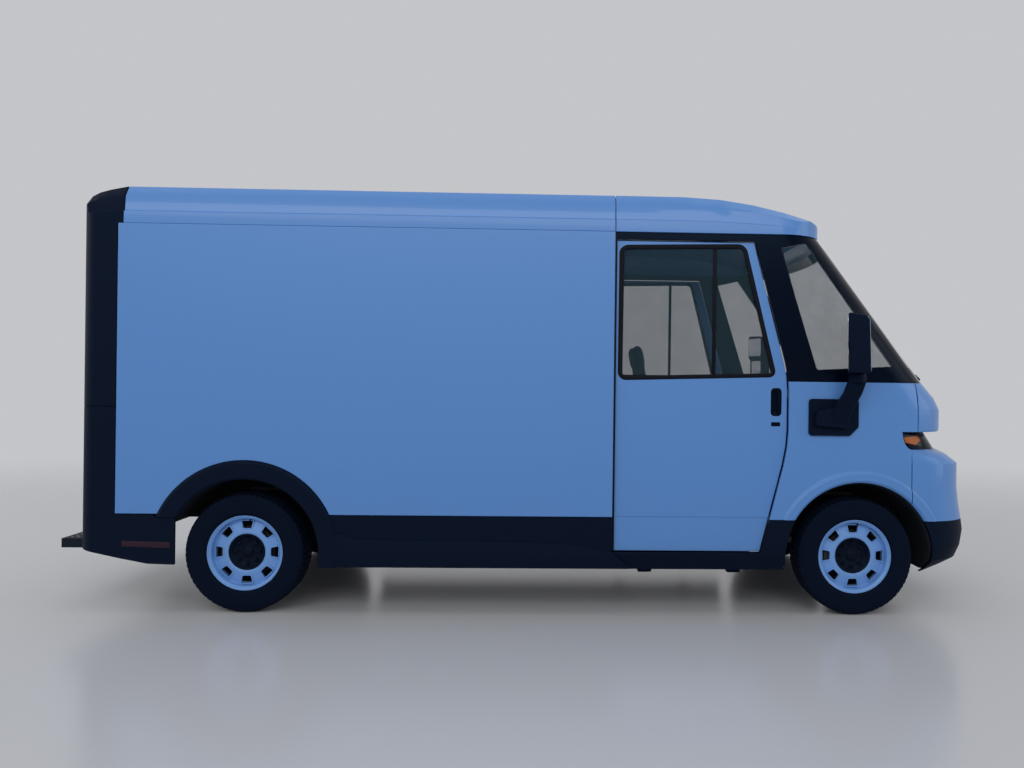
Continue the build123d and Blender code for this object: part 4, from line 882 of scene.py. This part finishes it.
# Driver's seat. A foam cushion, a back and a head restraint in woven grey cloth, each sewn
# in panels: a flat middle between raised bolsters, the seams pulled down into the foam.
seat_cloth, tree, surface = blank("seat_cloth")
coords, thread_scale = object_place(tree), 2400.0
axes = axes_of(tree, coords)
warp = calc(tree, "SINE", calc(tree, "MULTIPLY", axes["Y"], thread_scale))
weft = calc(tree, "ADD", axes["X"], axes["Z"])
weft = calc(tree, "SINE", calc(tree, "MULTIPLY", weft, thread_scale))
weave = calc(tree, "MULTIPLY", warp, weft)
shade = calc(tree, "ADD", calc(tree, "MULTIPLY", noise(tree, coords, 7.0, 4.0), 0.7),
             calc(tree, "MULTIPLY", weave, 0.15), True)
fed(tree, surface, {"Roughness": 0.88, "Sheen Weight": 0.25,
                    "Base Color": mixed(tree, shade, (0.012, 0.014, 0.020),
                                        (0.038, 0.042, 0.052)),
                    "Normal": bumped(tree, weave, 0.0006)})


def stuffed(name, node, seams, shrink=0.018, cap=0.016):
    """Padded piece: a slightly smaller copy of the CAD solid swells between its seams."""
    shape = solid_copy(node, name)
    open_mesh(shape)
    bpy.ops.transform.shrink_fatten(value=-shrink, use_even_offset=True)
    bpy.ops.object.mode_set(mode="OBJECT")
    rounding = shape.modifiers.new("rounding", "BEVEL")
    rounding.width, rounding.segments = 0.032, 4
    bpy.ops.object.modifier_apply(modifier=rounding.name)
    remesh = shape.modifiers.new("remesh", "REMESH")
    remesh.mode, remesh.voxel_size = "VOXEL", 0.008
    bpy.ops.object.modifier_apply(modifier=remesh.name)
    start = [vertex.co.copy() for vertex in shape.data.vertices]
    held = shape.vertex_groups.new(name="seams")
    held.add([number for number, place in enumerate(start) if seams(place)], 1.0, "REPLACE")
    stuffing = shape.modifiers.new("stuffing", "CLOTH")
    stuffing.settings.use_pressure = True
    stuffing.settings.uniform_pressure_force = 4.0
    stuffing.settings.effector_weights.gravity = 0.0
    stuffing.settings.vertex_group_mass = "seams"
    for number in range(1, 21):
        bpy.context.scene.frame_set(number)
    bpy.ops.object.modifier_apply(modifier=stuffing.name)
    bpy.context.scene.frame_set(1)
    for vertex, place in zip(shape.data.vertices, start):
        moved = vertex.co - place
        if moved.length > cap:
            vertex.co = place + moved * (cap / moved.length)
    shape.vertex_groups.clear()
    smooth = shape.modifiers.new("smooth", "SUBSURF")
    smooth.levels = smooth.render_levels = 1
    bpy.ops.object.modifier_apply(modifier=smooth.name)
    bpy.ops.object.shade_smooth()
    shape.data.materials.clear()
    shape.data.materials.append(seat_cloth)
    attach(shape, "van_body")
    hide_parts(node)


pad_low, pad_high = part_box("seat_cushion")
rest_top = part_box("seat_back")[1].z
driver_y = (pad_low.y + pad_high.y) / 2
near_seam = 0.005


def cushion_seam(place):
    """The base, a seam beside each bolster, and two across the middle."""
    across = abs(place.y - driver_y)
    between = any(abs(place.x - pad_low.x - x) < near_seam for x in (0.17, 0.33))
    return (place.z < pad_low.z + 0.024 or 0.146 < across < 0.155
            or (across < 0.15 and place.z > pad_high.z - 0.06 and between))


def back_seam(place):
    """A seam beside each bolster, two across the middle, and one under the restraint."""
    across = abs(place.y - driver_y)
    neck = rest_top - 0.20
    between = any(abs(place.z - z) < near_seam for z in (neck, neck - 0.14, neck - 0.28))
    return (0.140 < across < 0.149 and place.z < neck) or between


stuffed("seat_cushion_pad", "seat_cushion", cushion_seam)
stuffed("seat_back_pad", "seat_back", back_seam)


# Dashboard and controls. A moulded soft-grain dash with a hooded cluster, a centre screen,
# air vents and a shelf lip, the steering wheel on its column with two stalks, and pedals.
cab_dust = (0.05, 0.05, 0.055)
dash_moulding = finish("dash_moulding", (0.018, 0.020, 0.026), 0.62, specular=0.3, film=0.12,
                       film_color=cab_dust, grain=700.0, depth=0.0005)
wheel_hide = finish("wheel_hide", (0.008, 0.009, 0.012), 0.48, specular=0.35, film=0.08,
                    film_color=cab_dust, grain=520.0, depth=0.0004)
screen_dark = finish("screen_dark", (0.004, 0.008, 0.014), 0.08, coat=0.5, film=0.03, grain=90.0,
                     depth=0.0)
skin("dashboard", dash_moulding, 0.014)
skin("steering_wheel", wheel_hide, 0.009)
dash_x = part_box("dashboard")[0].x
hood = ((0.035, 1.335), (0.020, 1.470), (0.060, 1.495), (0.240, 1.440), (0.240, 1.400))
cluster = side_plate("cluster_hood", [(dash_x + x, z) for x, z in hood], driver_y - 0.20, 0.40)
settle(cluster, dash_moulding, 0.014, 4)
dial_face = ((0.0305, -0.17, 1.352), (0.0175, -0.17, 1.455), (0.0175, 0.17, 1.455),
             (0.0305, 0.17, 1.352))
screens = [plate("cluster_screen", [(dash_x + x, driver_y + y, z) for x, y, z in dial_face],
                 (-0.004, 0, 0), 0.012),
           block("centre_screen", (dash_x, -0.17, 1.310), (dash_x + 0.026, 0.17, 1.500))]
settle(joined("dash_screens", screens), screen_dark, 0.004)
vents, vent_z = [], 1.235
for y in (-0.86, -0.52, 0.12, 0.74):
    for x0, x1, radius, sides in ((0.010, -0.010, 0.046, 32), (-0.008, -0.014, 0.030, 6)):
        vents.append(rod("vent", (dash_x + x0, y, vent_z), (dash_x + x1, y, vent_z), radius,
                         sides))
settle(joined("dash_vents", vents), dash_moulding, 0.004)
glove_box = block("glove_box", (dash_x - 0.006, -0.80, 1.150), (dash_x + 0.004, -0.30, 1.195))
settle(glove_box, dash_moulding, 0.004)
stalks = [rod("stalk", (dash_x - 0.085, driver_y - side * 0.045, 1.235),
              (dash_x - 0.105, driver_y - side * 0.175, 1.255), 0.009, 16) for side in (-1, 1)]
settle(joined("column_stalks", stalks), wheel_hide, 0.003)
pedals = []
for y, wide in ((driver_y - 0.12, 0.045), (driver_y + 0.02, 0.065)):
    pedals.append(block("pad", (dash_x + 0.060, y - wide, 0.905),
                        (dash_x + 0.074, y + wide, 1.000)))
    pedals.append(rod("lever", (dash_x + 0.072, y, 0.960), (dash_x + 0.170, y, 1.150), 0.009,
                      12))
settle(joined("pedals", pedals), wiper_black, 0.003)


# Studio. A pale floor that fades out into a plain pale backdrop, lit by large soft panels
# overhead and at the sides. The camera stands off the van's right side at eye height.
scene = bpy.context.scene
scene.view_settings.view_transform = "Standard"
bpy.ops.mesh.primitive_circle_add(vertices=96, radius=60, fill_type="NGON")
floor = bpy.context.object
floor.name = "studio_floor"
floor_finish, tree, surface = blank("studio_floor")
fed(tree, surface, {"Base Color": (0.62, 0.62, 0.63), "Roughness": 0.22,
                    "Specular IOR Level": 0.30})
clear = tree.nodes.new("ShaderNodeBsdfTransparent")
reach = tree.nodes.new("ShaderNodeVectorMath")
reach.operation = "LENGTH"
fed(tree, reach, {0: object_place(tree)})
fade = ranged(tree, reach.outputs["Value"], 4.5, 14.0, "SMOOTHSTEP")
fading = fed(tree, tree.nodes.new("ShaderNodeMixShader"),
             {0: fade, 1: surface.outputs[0], 2: clear.outputs[0]})
fed(tree, tree.nodes["Material Output"], {"Surface": fading.outputs[0]})
floor.data.materials.append(floor_finish)
floor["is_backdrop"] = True

world = bpy.data.worlds.new("studio")
scene.world = world
world.use_nodes = True
tree = world.node_tree
tree.nodes.clear()
room = fed(tree, tree.nodes.new("ShaderNodeBackground"),
           {"Color": (0.84, 0.88, 0.96), "Strength": 0.36})
backdrop = fed(tree, tree.nodes.new("ShaderNodeBackground"), {"Color": (0.555, 0.560, 0.580)})
rays = tree.nodes.new("ShaderNodeLightPath").outputs
seen = calc(tree, "MAXIMUM", rays["Is Camera Ray"], rays["Is Glossy Ray"])
seen = calc(tree, "MAXIMUM", seen, rays["Is Transmission Ray"])
both = fed(tree, tree.nodes.new("ShaderNodeMixShader"),
           {0: seen, 1: room.outputs[0], 2: backdrop.outputs[0]})
fed(tree, tree.nodes.new("ShaderNodeOutputWorld"), {"Surface": both.outputs[0]})

for name, place, turn, size, power in (
        ("overhead_panel", (0.0, -0.3, 6.8), (0, 0, 0), (11.0, 6.0), 90),
        ("right_panel", (-1.5, -12.0, 7.3), (60, 0, -7), (14.0, 6.0), 640),
        ("front_panel", (9.5, -4.0, 3.6), (74, 0, 67), (6.0, 5.0), 90),
        ("left_panel", (0.5, 10.5, 5.6), (-62, 0, 0), (13.0, 7.0), 230),
        ("rear_panel", (-9.5, -1.0, 3.8), (72, 0, -84), (6.0, 5.0), 110)):
    bpy.ops.object.light_add(type="AREA", location=place,
                             rotation=[radians(angle) for angle in turn])
    panel = bpy.context.object
    panel.name = name
    panel.data.shape = "RECTANGLE"
    panel.data.size, panel.data.size_y = size
    panel.data.energy = power

bpy.ops.object.camera_add(location=(0.118, -6.68, 1.462),
                          rotation=(radians(90), radians(-0.7), radians(-1.83)))
camera = bpy.context.object
camera.data.sensor_width = 36.0
camera.data.lens = 30.94
camera.data.shift_x = -0.0655
camera.data.shift_y = 0.001
scene.camera = camera


# Sizes: the dressed van's box, the studio floor left out.
low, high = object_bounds()
